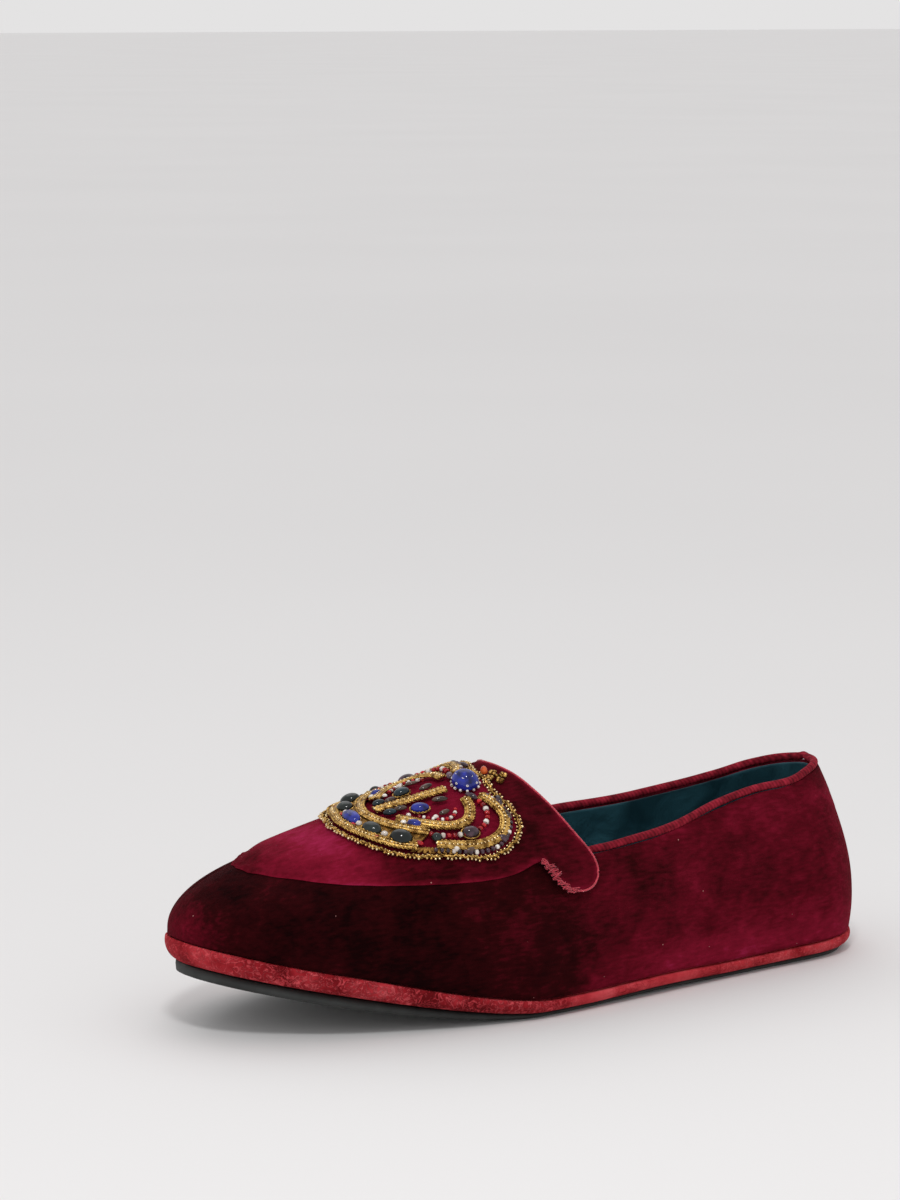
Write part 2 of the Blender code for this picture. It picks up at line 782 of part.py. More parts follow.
def main():
    clear_scene()
    shoe = bpy.data.collections.new("velvet_slipper_loafer")
    bpy.context.scene.collection.children.link(shoe)
    rubber = finish("black_rubber", "2a2c2b", 0.75)
    band = finish("red_velvet_band", "9a2428", 0.9)
    velvet = finish("burgundy_velvet", "4a0814", 0.9)
    plug = finish("burgundy_velvet_apron", "6a1024", 0.9)
    satin = finish("teal_satin", "16303a", 0.5)
    tape = finish("red_velvet_tape", "8a1724", 0.85)
    add_piece("outsole", outsole_mesh(), rubber, shoe)
    add_piece("midsole", midsole_mesh(), band, shoe)
    add_piece("insole", insole_mesh(), satin, shoe)
    upper = add_piece("upper", upper_mesh(), velvet, shoe)
    add_wall(upper, UPPER_WALL, outward=False)
    apron = add_piece("apron", apron_mesh(), plug, shoe)
    add_wall(apron, APRON_THICKNESS, outward=True)
    gold = finish("gilt_metal", "b98a2e", 0.35, 1.0)
    glass = finish("blue_glass", "1c2f8f", 0.1)
    add_piece("collar_binding", tube("collar_binding", binding_curve(), BINDING_RADIUS, 2), tape, shoe)
    base = add_piece("crown_base", crown_base_mesh(), gold, shoe)
    add_wall(base, CROWN_PLATE, outward=True)
    for name, columns in (("circlet_front", CIRCLET_FRONT), ("circlet_back", CIRCLET_BACK)):
        outer, inner = halves(columns, 3)
        line = outer[::-1] + inner[1:]
        add_piece("crown_" + name, crown_wire("crown_" + name, line), gold, shoe)
    for name, columns in (("outer_arch", OUTER_ARCH), ("inner_arch", INNER_ARCH)):
        for hand, line in zip(("left", "right"), halves(columns, 2)):
            piece = "crown_" + name + "_" + hand
            add_piece(piece, crown_wire(piece, line), gold, shoe)
    add_piece("crown_upright", crown_wire("crown_upright", halves(UPRIGHT, 2)[0]), gold, shoe)
    count = 0
    for along, across, turned, half_width, half_length in zip(*STONES.values()):
        for side in (1, -1) if across else (1,):
            count += 1
            name = "crown_stone_" + str(count)
            halves_of_it = half_width * ORB_RADIUS, half_length * ORB_RADIUS
            add_piece(name, stone_mesh(name, along, across * side, turned, *halves_of_it), glass, shoe)
    add_piece("crown_orb", ball_mesh("crown_orb", ORB_ALONG, ORB_RADIUS, PLATE_TOP + GAP), glass, shoe)
    add_piece("crown_finial", finial_mesh("crown_finial"), gold, shoe)


main()
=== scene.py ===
"""The looks of a left velvet slipper loafer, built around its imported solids, in metres."""

import math
import random

import bmesh
import bpy
import numpy
from mathutils import Matrix, Vector
from mathutils.bvhtree import BVHTree
from mathutils.kdtree import KDTree


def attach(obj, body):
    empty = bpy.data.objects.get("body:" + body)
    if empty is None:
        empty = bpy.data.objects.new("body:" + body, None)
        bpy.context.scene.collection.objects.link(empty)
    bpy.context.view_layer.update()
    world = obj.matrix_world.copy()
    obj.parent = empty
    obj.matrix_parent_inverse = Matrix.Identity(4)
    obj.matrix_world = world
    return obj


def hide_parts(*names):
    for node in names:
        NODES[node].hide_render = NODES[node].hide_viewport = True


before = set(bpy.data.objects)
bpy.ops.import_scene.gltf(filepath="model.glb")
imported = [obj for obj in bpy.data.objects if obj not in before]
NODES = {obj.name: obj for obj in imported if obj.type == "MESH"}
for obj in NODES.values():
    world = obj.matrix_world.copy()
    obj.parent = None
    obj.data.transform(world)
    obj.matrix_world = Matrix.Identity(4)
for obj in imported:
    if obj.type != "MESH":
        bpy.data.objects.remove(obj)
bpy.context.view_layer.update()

MM = 0.001
UP = Vector((0, 0, 1))
# Corners of a solid that lie nearer than this are one, and how far a sharp rim is creased
MERGE, RIM_CREASE = 0.02 * MM, 0.75

# Camera: the photo's angle to the shoe, its distance, and how far it aims left of the target and above it
CAMERA_AZIMUTH, CAMERA_ELEVATION = -34.0, 13.0
CAMERA_DISTANCE = 1.400
TARGET = Vector((0.0, 0.0, 0.035))
AIM_LEFT, AIM_UP = 0.0264, 0.1038
FOCAL_LENGTH = 116.3

# The crown's frame on the vamp, as in the solids: the crest of the vamp beside it, and its own middle line
CROWN_LENGTH = 0.0545
CROWN_WIDTH = 0.0620
CREST_FOOT, CREST_HEAD = (-0.0804, 0.0035), (-0.0253, -0.0033)
MIDDLE_FOOT_Y, MIDDLE_HEAD_Y = -0.0029, -0.0163
# Rows round the vamp that the crown is laid on: how they sweep back at its sides, the axis they turn about,
# and where the rays that find its skin start
ROW_SWEEP = 0.12
VAMP_REACH = 0.04
VAMP_AXIS_HEIGHT = 0.032
OUTSIDE = 0.15
ROW_DEGREES = range(-80, 81, 2)
ROW_STEP, COLUMN_STEP = 2 * MM, MM
VAMP_ALONG = [ROW_STEP * i for i in range(-5, 37)]
VAMP_ACROSS = [COLUMN_STEP * i for i in range(-44, 45)]

# Lines of the crown on one half, as shares along it and across half its width, as in the solids
CROWN_EDGE = (
    (0.000, 0.00), (0.035, 0.26), (0.110, 0.50), (0.210, 0.70), (0.330, 0.82), (0.460, 0.88), (0.600, 0.94),
    (0.740, 1.00), (0.860, 0.96), (0.950, 0.86), (1.000, 0.70), (0.990, 0.48), (0.950, 0.26), (0.960, 0.00),
)
CIRCLET_FRONT = ((0.045, 0.00), (0.075, 0.24), (0.145, 0.46), (0.240, 0.64), (0.345, 0.74))
CIRCLET_BACK = ((0.200, 0.00), (0.225, 0.18), (0.285, 0.35), (0.370, 0.49), (0.455, 0.58))
OUTER_ARCH = (
    (0.460, 0.76), (0.620, 0.85), (0.760, 0.87), (0.880, 0.78), (0.935, 0.60), (0.915, 0.40), (0.870, 0.25),
)
INNER_ARCH = ((0.34, 0.26), (0.46, 0.45), (0.60, 0.57), (0.71, 0.54), (0.765, 0.39), (0.775, 0.24))
UPRIGHT = ((0.27, 0.0), (0.45, 0.0), (0.60, 0.0), (0.72, 0.0))
CORNER_INNER = ((0.355, 0.755), (0.400, 0.77), (0.450, 0.80), (0.500, 0.83))
CORNER_OUTER = ((0.290, 0.760), (0.380, 0.835), (0.470, 0.880), (0.560, 0.925))

# Steps of the crown's lines from one row to the next, steps of a twisted wire's turn, points of an oval,
# and how near two corners of a wire are when they are one
LINE_STEPS, TURN_STEPS, OVAL_POINTS = 8, 8, 48
WIRE_MERGE = 0.002 * MM

# Heights over the vamp's skin
GROUND_TOP = 1.6 * MM
WIRE_HEIGHT = 2.6 * MM
STONE_FOOT = 1.9 * MM
EDGE_HEIGHT = 1.5 * MM
BEAD_HEIGHT = 2.0 * MM

# The felt's rounded rim: its width and rise, how far in the next ring lies, and how deep its foot sinks
RIM_WIDTH, RIM_RISE, RIM_RING, FELT_SINK = 0.7 * MM, 0.5 * MM, 2.0 * MM, 0.3 * MM

# The ribbons' half widths
CIRCLET_HALF_WIDTH, ARCH_HALF_WIDTH = 1.15 * MM, 1.3 * MM

# The scalloped edge: how far its scallops swing, and how many points of its line each one takes
SCALLOP_SWING, SCALLOP_POINTS = 0.45 * MM, 6

# The orb: its share along the crown, its half width, half length and rise, the rise of its studs, and the
# rows of studs, each its angle above the foot in degrees and how many it has
ORB_ALONG = 0.85
ORB_HALF_WIDTH, ORB_HALF_LENGTH, ORB_RISE, STUD_RISE = 4.2 * MM, 4.6 * MM, 4.6 * MM, 4.9 * MM
STUD_ROWS = ((25, 7), (58, 5), (88, 1))

# The flower beyond the orb: its share along the crown, its height, and the beads of one petal in millimetres
FLOWER_ALONG, FLOWER_HEIGHT = 1.05, 1.6 * MM
PETAL_BEADS = ((1.5, 0), (2.5, 0.75), (2.5, -0.75), (3.1, 0))

# Tones of the silk velvet's painted sheen, from the pile that faces the eye to the pile that is brushed right
# over
VELVET_TONES = (
    (0.0, "120102"), (1.0, "b83e66"), (0.2, "2c0407"), (0.4, "560817"), (0.6, "781128"), (0.8, "972046"),
)
# The plug's edge sinks to its seam over this reach, where the plug lies less than this height over the
# upper, and is left this far above it. It fades out from where the tongue starts.
SEAM_REACH, SEAM_HEIGHT, SEAM_GAP = 9 * MM, 4 * MM, 0.1 * MM
PLUG_END, PLUG_FADE = -0.032, 0.012
# The padded roll beside the seam: how far in and how wide it is, and its height as a share of the plug's
ROLL_PLACE, ROLL_WIDTH, ROLL_HEIGHT = 1.8 * MM, 1.3 * MM, 0.26
# How far the velvet's own layers lift its tone on average, taken off what the nap attribute asks for
NAP_MEAN = 0.51
# What turns bands to a metre into the scale of a wave texture
WAVE_SCALE = 0.314

# The line inside the shoe that its lining faces: its ends, its height, and its height ahead of the ball
HOLLOW_FRONT, HOLLOW_BACK = -0.105, 0.100
HOLLOW_HEIGHT, TOE_HOLLOW_HEIGHT, BALL_X = 0.028, 0.035, -0.07

# The upper's painted sheen, given as nap: the tone of the vamp and how much the quarter adds from where to
# where, then lighter humps of painted sheen, each as its middle, its width and its lift
VAMP_TONE, QUARTER_LIFT = 0.11, 0.24
QUARTER_START, QUARTER_RUN = -0.060, 0.110
TOE_HUMP, HEEL_HUMP = (-0.143, 0.010, 0.24), (0.145, 0.014, 0.10)
FOOT_HUMP, TOPLINE_HUMP = (0.010, 0.010, 0.20), (0.060, 0.008, 0.07)
# The hump at the toe starts at this height and comes in over the next
TOE_FOOT, TOE_FADE = 0.014, 0.02

# The apron's painted sheen, given as nap: its tone, what its front adds and over which run that ends, what
# the tongue adds from where to where, the bright hump of painted light ahead of the crown with its width
# across the shoe, and the painted highlight along the edge
APRON_TONE = 0.24
FRONT_LIFT, FRONT_END, FRONT_RUN = 0.13, -0.098, 0.045
TONGUE_LIFT, TONGUE_START, TONGUE_RUN = 0.07, -0.03, 0.02
LIT_HUMP, LIT_WIDTH = (-0.087, 0.015, 0.30), 0.030
EDGE_HUMP = (0.0, 1.1 * MM, 0.24)
# The tone of the velvet under the crown
GROUND_TONE = 0.52

# The band: its own crush, the waist's hump, where its pile lies flat and bright, and the curled stretch, as
# what it adds and how it comes in from behind and fades out at the toe
BAND_TONE = 0.45
WAIST_HUMP = (0.018, 0.028, -0.75)
CURL_LIFT, CURL_BACK, CURL_RUN, CURL_FRONT, CURL_FADE = 0.45, 0.01, 0.05, -0.137, 0.015

# Long soft waves of the upper: their depth, their lengths along and up it, where they start above the floor
# and how they come in, and how near the middle of the shoe nothing is pressed
WAVE_DEPTH, WAVE_LENGTH, WAVE_LEAN = 0.35 * MM, 11 * MM, 17 * MM
WAVE_FOOT, WAVE_FADE = 10 * MM, 15 * MM
CALM_WIDTH = 15 * MM

# The tape's ends, which lie ahead of a place: how much of each is drawn in, the stretch behind it that
# gives its direction, how far it shrinks, is pushed on, and is tucked in and down
TAPE_AHEAD, TAPE_END, TAPE_BEHIND = 0.02, 1.6 * MM, (6 * MM, 9 * MM)
TAPE_SHRINK, TAPE_PUSH, TAPE_TUCK, TAPE_DROP = 0.8, 5.5 * MM, 1.6 * MM, 0.5 * MM

# The corded edge: it starts on the plug ahead of one place and is sewn behind another, as x, and a gap of
# more than 3 mm ends a run
PLUG_X, CORD_FRONT, CORD_GAP, SHORTEST_RUN = -0.1, -0.021, 3 * MM, 20
# The thread that tacks each tab down follows the edge below a height and ahead of a place, in three strands
TACK_TOP, TACK_BACK, TACK_STRANDS = 0.057, -0.0085, 3
# In millimetres, how far the strands sway and how far they stand off the tab: at least, by a wave, by chance
TACK_SWAY, TACK_LIFT, TACK_WAVE, TACK_CHANCE = 1.2, 0.9, 0.6, 0.3


def linear(colour):
    """An sRGB hex colour as the linear values that a shader takes."""
    shares = [int(colour[i : i + 2], 16) / 255 for i in (0, 2, 4)]
    return tuple(c / 12.92 if c <= 0.04045 else ((c + 0.055) / 1.055) ** 2.4 for c in shares) + (1.0,)


def add_node(tree, kind, links=None, stops=None, **settings):
    """Adds a shader node. Settings are its own values or its inputs by name, links join inputs to other
    outputs, and stops are the places and sRGB colours of a colour ramp."""
    node = tree.nodes.new(kind)
    for name, value in settings.items():
        if hasattr(node, name) and name not in node.inputs:
            setattr(node, name, value)
        else:
            node.inputs[name.replace("_", " ")].default_value = value
    for name, output in (links or {}).items():
        tree.links.new(output, node.inputs[name])
    for i, (place, colour) in enumerate(stops or ()):
        points = node.color_ramp.elements
        point = points[i] if i < 2 else points.new(place)
        point.position = place
        point.color = linear(colour)
    return node


def new_material(name):
    """A material with its tree, its shader and the piece's own coordinates."""
    material = bpy.data.materials.new(name)
    material.use_nodes = True
    tree = material.node_tree
    place = add_node(tree, "ShaderNodeTexCoord").outputs["Object"]
    return material, tree, tree.nodes["Principled BSDF"], place


def finish(tree, shader, colour, relief, **constants):
    """Joins a colour and layers of relief, each a height and its depth, and sets the shader's own values."""
    tree.links.new(colour, shader.inputs["Base Color"])
    for name, value in constants.items():
        shader.inputs[name.replace("_", " ")].default_value = value
    normal = None
    for height, depth in relief:
        links = {"Height": height, "Normal": normal} if normal else {"Height": height}
        normal = add_node(tree, "ShaderNodeBump", links, Strength=1.0, Distance=depth).outputs["Normal"]
    tree.links.new(normal, shader.inputs["Normal"])


def silk_velvet():
    """Cut-pile silk velvet: a dense upright pile, near black where it faces the eye and magenta where it is
    brushed over or turns away, a sheen that is painted into its colour. The nap attribute holds
    this painted sheen, set by place on the shoe as how far the pile is brushed, and patches of 26 mm, mottle
    of 7 mm and strokes of 1.5 mm vary it. Its pile is drawn coarser than real, at 0.55 mm, and shows as a
    soft bloom, and a few pale specks of lint lie on it."""
    material, tree, shader, place = new_material("burgundy_silk_velvet")
    patches = add_node(tree, "ShaderNodeTexNoise", {"Vector": place}, Scale=1 / (26 * MM), Detail=2.0)
    mottle = add_node(
        tree, "ShaderNodeTexNoise", {"Vector": place}, Scale=1 / (7 * MM), Detail=4.0, Distortion=0.6
    )
    brushed = add_node(
        tree, "ShaderNodeMapping", {"Vector": place}, Scale=(0.35, 1.0, 1.3), Rotation=(0.0, 0.35, 0.5)
    )
    strokes = add_node(
        tree, "ShaderNodeTexNoise", {"Vector": brushed.outputs["Vector"]}, Scale=1 / (1.5 * MM), Detail=3.0
    )
    # The nap attribute carries painted sheen: lighter where the pile would catch the light
    total = add_node(tree, "ShaderNodeAttribute", attribute_name="nap").outputs["Fac"]
    for layer, weight in ((patches, 0.40), (mottle, 0.32), (strokes, 0.30)):
        lean = add_node(tree, "ShaderNodeMath", {0: layer.outputs["Fac"], 2: total}, operation="MULTIPLY_ADD")
        lean.inputs[1].default_value = weight
        total = lean.outputs[0]
    tone = add_node(tree, "ShaderNodeValToRGB", {"Fac": total}, stops=VELVET_TONES)
    lint = add_node(tree, "ShaderNodeTexVoronoi", {"Vector": place}, Scale=1 / (9 * MM))
    speck = add_node(tree, "ShaderNodeMath", {0: lint.outputs["Distance"]}, operation="LESS_THAN")
    speck.inputs[1].default_value = 0.028
    dusted = add_node(tree, "ShaderNodeMix", {"Factor": speck.outputs[0]}, data_type="RGBA")
    # A mix of colours has them as its inputs 6 and 7, and the result as its output 2
    tree.links.new(tone.outputs["Color"], dusted.inputs[6])
    dusted.inputs[7].default_value = linear("a0706c")
    pile = add_node(tree, "ShaderNodeTexNoise", {"Vector": place}, Scale=1 / (0.55 * MM), Detail=2.0)
    finish(
        tree, shader, dusted.outputs[2],
        (
            (patches.outputs["Fac"], 0.6 * MM),
            (mottle.outputs["Fac"], 0.5 * MM),
            (pile.outputs["Fac"], 0.22 * MM),
        ),
        Roughness=0.95, Specular_IOR_Level=0.04,
        Sheen_Weight=0.24, Sheen_Roughness=0.26, Sheen_Tint=linear("b8263c"),
    )
    return material


def crushed_velvet():
    """Bright red velvet on the platform's edge, its pile crushed into short worm-like curls at the forefoot
    and brushed flat behind it. The nap attribute holds how far it is crushed, and the crests of
    the curls are painted lighter, a painted highlight. The curls are 3.4 mm apart, which is coarser than
    real, so that they show."""
    material, tree, shader, place = new_material("crushed_red_velvet")
    patches = add_node(tree, "ShaderNodeTexNoise", {"Vector": place}, Scale=1 / (12 * MM), Detail=3.0)
    swirl = add_node(
        tree, "ShaderNodeTexNoise", {"Vector": place}, Scale=1 / (3.4 * MM), Detail=2.0, Distortion=2.0
    )
    centred = add_node(tree, "ShaderNodeMath", {0: swirl.outputs["Fac"]}, operation="SUBTRACT")
    centred.inputs[1].default_value = 0.5
    folded = add_node(tree, "ShaderNodeMath", {0: centred.outputs[0]}, operation="ABSOLUTE")
    # The crests of the curls, which are painted lighter below as a painted highlight
    crest = add_node(
        tree, "ShaderNodeMapRange", {"Value": folded.outputs[0]}, From_Max=0.075, To_Min=1.0, To_Max=0.0
    )
    crushed = add_node(tree, "ShaderNodeAttribute", attribute_name="nap").outputs["Fac"]
    curls_and_highlight = add_node(tree, "ShaderNodeMath", {0: crest.outputs["Result"], 1: crushed}, operation="MULTIPLY")
    total = add_node(
        tree, "ShaderNodeMath", {0: curls_and_highlight.outputs[0], 2: patches.outputs["Fac"]}, operation="MULTIPLY_ADD"
    )
    total.inputs[1].default_value = 0.46
    sunk = add_node(tree, "ShaderNodeMath", {0: crushed, 2: total.outputs[0]}, operation="MULTIPLY_ADD")
    sunk.inputs[1].default_value = -0.20
    tone = add_node(
        tree, "ShaderNodeValToRGB", {"Fac": sunk.outputs[0]},
        stops=((0.22, "600a10"), (0.88, "dc5c62"), (0.34, "8c1a22"), (0.50, "b4323a")),
    )
    finish(
        tree, shader, tone.outputs["Color"],
        ((curls_and_highlight.outputs[0], 0.6 * MM), (patches.outputs["Fac"], 0.8 * MM)),
        Roughness=0.85, Specular_IOR_Level=0.08,
        Sheen_Weight=0.12, Sheen_Roughness=0.3, Sheen_Tint=linear("d04a50"),
    )
    return material


def stitched_tape():
    """Folded velvet tape round the topline, with the slanted bars of an overcast stitch 1.5 mm apart along
    it. Its pile is drawn as soft dark and light spots of 3.5 mm."""
    material, tree, shader, place = new_material("overcast_velvet_tape")
    slanted = add_node(tree, "ShaderNodeMapping", {"Vector": place}, Rotation=(0.0, 0.5, 0.0))
    bars = add_node(
        tree, "ShaderNodeTexWave", {"Vector": slanted.outputs["Vector"]}, Scale=WAVE_SCALE / (1.5 * MM),
        Distortion=1.5,
    )
    pile = add_node(tree, "ShaderNodeTexNoise", {"Vector": place}, Scale=1 / (3.5 * MM), Detail=4.0)
    shade = add_node(
        tree, "ShaderNodeMath", {0: bars.outputs["Fac"], 2: pile.outputs["Fac"]}, operation="MULTIPLY_ADD"
    )
    shade.inputs[1].default_value = 0.16
    tone = add_node(
        tree, "ShaderNodeValToRGB", {"Fac": shade.outputs[0]},
        stops=((0.34, "4c0814"), (0.88, "a02638"), (0.58, "741422")),
    )
    finish(
        tree, shader, tone.outputs["Color"],
        ((bars.outputs["Fac"], 0.12 * MM), (pile.outputs["Fac"], 0.3 * MM)),
        Roughness=0.9, Specular_IOR_Level=0.1, Sheen_Weight=0.2, Sheen_Tint=linear("c43048"),
    )
    return material


def satin():
    """Dark teal satin lining: smooth long floats that give it a soft gloss, with slack puckers 16 mm apart.
    The floats are drawn coarser than real, at 0.5 mm."""
    material, tree, shader, place = new_material("teal_satin_lining")
    puckers = add_node(
        tree, "ShaderNodeTexNoise", {"Vector": place}, Scale=1 / (16 * MM), Detail=3.0, Distortion=0.8
    )
    floats = add_node(tree, "ShaderNodeMapping", {"Vector": place}, Scale=(1.0, 1.0, 3.0))
    weave = add_node(tree, "ShaderNodeTexNoise", {"Vector": floats.outputs["Vector"]}, Scale=1 / (0.5 * MM))
    tone = add_node(
        tree, "ShaderNodeValToRGB", {"Fac": puckers.outputs["Fac"]}, stops=((0.3, "1a3a44"), (0.75, "34626e"))
    )
    finish(
        tree, shader, tone.outputs["Color"],
        ((puckers.outputs["Fac"], 1.2 * MM), (weave.outputs["Fac"], 0.05 * MM)),
        Roughness=0.42, Anisotropic=0.4,
    )
    return material


def cotton_thread():
    """Red mercerised cotton thread: a soft gloss, with a painted highlight that makes it lighter where the
    ply stands up. The ply is drawn coarser than real, at 0.8 mm."""
    material, tree, shader, place = new_material("mercerised_red_thread")
    ply = add_node(tree, "ShaderNodeTexNoise", {"Vector": place}, Scale=1 / (0.8 * MM), Detail=2.0)
    # Lighter where the ply noise is high: a painted highlight on the raised ply
    tone = add_node(
        tree, "ShaderNodeValToRGB", {"Fac": ply.outputs["Fac"]}, stops=((0.3, "94162a"), (0.7, "cc344a"))
    )
    finish(
        tree, shader, tone.outputs["Color"], ((ply.outputs["Fac"], 0.1 * MM),), Roughness=0.55,
        Sheen_Weight=0.2,
    )
    return material


def rubber():
    """Moulded black rubber: matt, with fine grit and a little dust rubbed in."""
    material, tree, shader, place = new_material("black_moulded_rubber")
    dust = add_node(tree, "ShaderNodeTexNoise", {"Vector": place}, Scale=1 / (9 * MM), Detail=6.0)
    grit = add_node(tree, "ShaderNodeTexNoise", {"Vector": place}, Scale=1 / (0.6 * MM), Detail=2.0)
    tone = add_node(
        tree, "ShaderNodeValToRGB", {"Fac": dust.outputs["Fac"]}, stops=((0.35, "1d1f1e"), (0.8, "343635"))
    )
    finish(tree, shader, tone.outputs["Color"], ((grit.outputs["Fac"], 0.12 * MM),), Roughness=0.72)
    return material


def bullion(name, deep, bright, roughness):
    """Gilt bullion wire: a fine drawn metal coil, lighter and browner in random patches that stand for both
    tarnish and painted sparkle and shade between its turns. Turns of 0.5 mm are coarser than real, and the
    tarnish and painted sparkle come and go over 1.8 mm."""
    material, tree, shader, place = new_material(name)
    # Random patches, partly tarnish and partly painted sparkle and shade
    tarnish_and_sparkle = add_node(tree, "ShaderNodeTexNoise", {"Vector": place}, Scale=1 / (1.8 * MM), Detail=3.0)
    turns = add_node(tree, "ShaderNodeTexNoise", {"Vector": place}, Scale=1 / (0.5 * MM), Detail=1.0)
    tone = add_node(
        tree, "ShaderNodeValToRGB", {"Fac": tarnish_and_sparkle.outputs["Fac"]}, stops=((0.36, deep), (0.64, bright))
    )
    finish(
        tree, shader, tone.outputs["Color"], ((turns.outputs["Fac"], 0.12 * MM),), Roughness=roughness,
        Metallic=0.85,
    )
    return material


def glass(name, colour, deep):
    """A polished glass stone: an opaque colour, deeper in places, with a glossy skin that gives small sharp
    highlights."""
    material, tree, shader, place = new_material(name)
    cloud = add_node(tree, "ShaderNodeTexNoise", {"Vector": place}, Scale=1 / (3 * MM), Detail=2.0)
    tone = add_node(
        tree, "ShaderNodeValToRGB", {"Fac": cloud.outputs["Fac"]}, stops=((0.35, deep), (0.65, colour))
    )
    finish(
        tree, shader, tone.outputs["Color"], ((cloud.outputs["Fac"], 0.2 * MM),),
        Roughness=0.08, Specular_IOR_Level=0.42,
    )
    return material


def floor_paint():
    """A pale matt studio floor, with the faintest unevenness in its paint."""
    material, tree, shader, place = new_material("pale_studio_floor")
    cloud = add_node(tree, "ShaderNodeTexNoise", {"Vector": place}, Scale=1.5, Detail=2.0)
    tone = add_node(
        tree, "ShaderNodeValToRGB", {"Fac": cloud.outputs["Fac"]}, stops=((0.3, "e1e0e0"), (0.7, "e3e2e2"))
    )
    finish(
        tree, shader, tone.outputs["Color"], ((cloud.outputs["Fac"], 0.1 * MM),), Roughness=0.9,
        Specular_IOR_Level=0.05,
    )
    return material


def select_only(piece):
    bpy.ops.object.select_all(action="DESELECT")
    piece.select_set(True)
    bpy.context.view_layer.objects.active = piece


def apply_modifiers(piece):
    select_only(piece)
    for modifier in list(piece.modifiers):
        bpy.ops.object.modifier_apply(modifier=modifier.name)


def dress(piece, material, slot, *nodes):
    """Finishes a piece: its material, the body it rides on and the nodes it stands for. The slot is not used.
    """
    piece.data.materials.clear()
    piece.data.materials.append(material)
    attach(piece, "root")
    for node in nodes:
        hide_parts(node)
    return piece


def smooth_copy(node, name, levels, crease_angle):
    """A solid's mesh copied, merged, turned to quads and subdivided, with its sharp rims kept by creases."""
    piece = bpy.data.objects.new(name, NODES[node].data.copy())
    bpy.context.scene.collection.objects.link(piece)
    select_only(piece)
    bpy.ops.object.mode_set(mode="EDIT")
    bpy.ops.mesh.select_all(action="SELECT")
    bpy.ops.mesh.remove_doubles(threshold=MERGE)
    bpy.ops.mesh.tris_convert_to_quads(face_threshold=math.radians(40), shape_threshold=math.radians(70))
    bpy.ops.mesh.select_all(action="DESELECT")
    bpy.ops.object.mode_set(mode="OBJECT")
    piece.data.materials.clear()
    form = bmesh.new()
    form.from_mesh(piece.data)
    crease = form.edges.layers.float.get("crease_edge") or form.edges.layers.float.new("crease_edge")
    for edge in form.edges:
        if len(edge.link_faces) == 2 and edge.calc_face_angle(0) > crease_angle:
            edge[crease] = RIM_CREASE
    form.to_mesh(piece.data)
    form.free()
    rounding = piece.modifiers.new("rounding", "SUBSURF")
    rounding.levels = rounding.render_levels = levels
    apply_modifiers(piece)
    bpy.ops.object.shade_smooth()
    return piece


def nap_and_sheen_attribute(piece, value):
    """Stores how far the pile is brushed over at each point, from -0.3, dark, to 0.4, bright. On the upper
    and apron this is painted sheen, and on the band it is how far the pile is crushed.
    """
    layer = piece.data.attributes.new("nap", "FLOAT", "POINT")
    for point in piece.data.vertices:
        layer.data[point.index].value = value(point)


def around(value, centre, width):
    """A soft hump of 1 at a centre, that fades over a width."""
    return math.exp(-(((value - centre) / width) ** 2))


def hump(value, shape):
    """A soft hump with its own lift, from its middle, width and lift."""
    middle, width, lift = shape
    return lift * around(value, middle, width)


def smooth_line(rows, steps):
    """A curve through points in a plane, with a number of steps from one to the next."""
    line = []
    for i in range(len(rows) - 1):
        near = [rows[max(0, min(len(rows) - 1, i + k))] for k in (-1, 0, 1, 2)]
        for step in range(steps):
            t = step / steps
            weights = (
                -t / 2 + t * t - t**3 / 2, 1 - 2.5 * t * t + 1.5 * t**3,
                t / 2 + 2 * t * t - 1.5 * t**3, -t * t / 2 + t**3 / 2,
            )
            line.append([sum(w * p[k] for w, p in zip(weights, near)) for k in (0, 1)])
    return line + [list(rows[-1])]


def crown_line(rows, side, height=0.0):
    """Rows of the crown as a smooth flat line. Side 1 is the outer half, at -Y, and -1 the inner one."""
    half = -side * CROWN_WIDTH / 2
    line = smooth_line(rows, LINE_STEPS)
    return [Vector((along * CROWN_LENGTH, across * half, height)) for along, across in line]


def whole_line(rows, height=0.0):
    """A line on both halves of the crown, from its outer end by the middle to its inner end."""
    return crown_line(rows, 1, height)[::-1] + crown_line(rows, -1, height)[1:]


def even_points(line, pitch, closed=False):
    """Points at an even pitch along a line."""
    line = line + [line[0]] if closed else line
    walked = numpy.cumsum([0.0] + [(b - a).length for a, b in zip(line, line[1:])])
    count = max(2, round(walked[-1] / pitch))
    stops = numpy.linspace(0, walked[-1], count + 1)
    if closed:
        stops = stops[:-1]
    table = numpy.array([list(p) for p in line])
    return [Vector([numpy.interp(stop, walked, table[:, k]) for k in range(3)]) for stop in stops]


def directions(line, closed=False):
    """The way ahead at each point of a line."""
    last = len(line) - 1
    ahead = []
    for i in range(len(line)):
        before = line[i - 1] if i or closed else line[0]
        after = line[(i + 1) % len(line)] if i < last or closed else line[last]
        ahead.append((after - before).normalized())
    return ahead


def beside(line, distance, closed=False):
    """A flat line moved sideways, to its left."""
    return [p + UP.cross(way) * distance for p, way in zip(line, directions(line, closed))]


def raised(line, height):
    """A line moved up, or down by a height below zero."""
    return [p + Vector((0, 0, height)) for p in line]


def twisted(line, radius, pitch, phase, closed=False):
    """A strand that winds round a line. The phase is where it starts, in turns."""
    points = even_points(line, pitch / TURN_STEPS, closed)
    strand = []
    for i, (point, way) in enumerate(zip(points, directions(points, closed))):
        turn = 2 * math.pi * (i / TURN_STEPS + phase)
        strand.append(point + UP.cross(way) * radius * math.cos(turn) + UP * radius * math.sin(turn))
    return strand


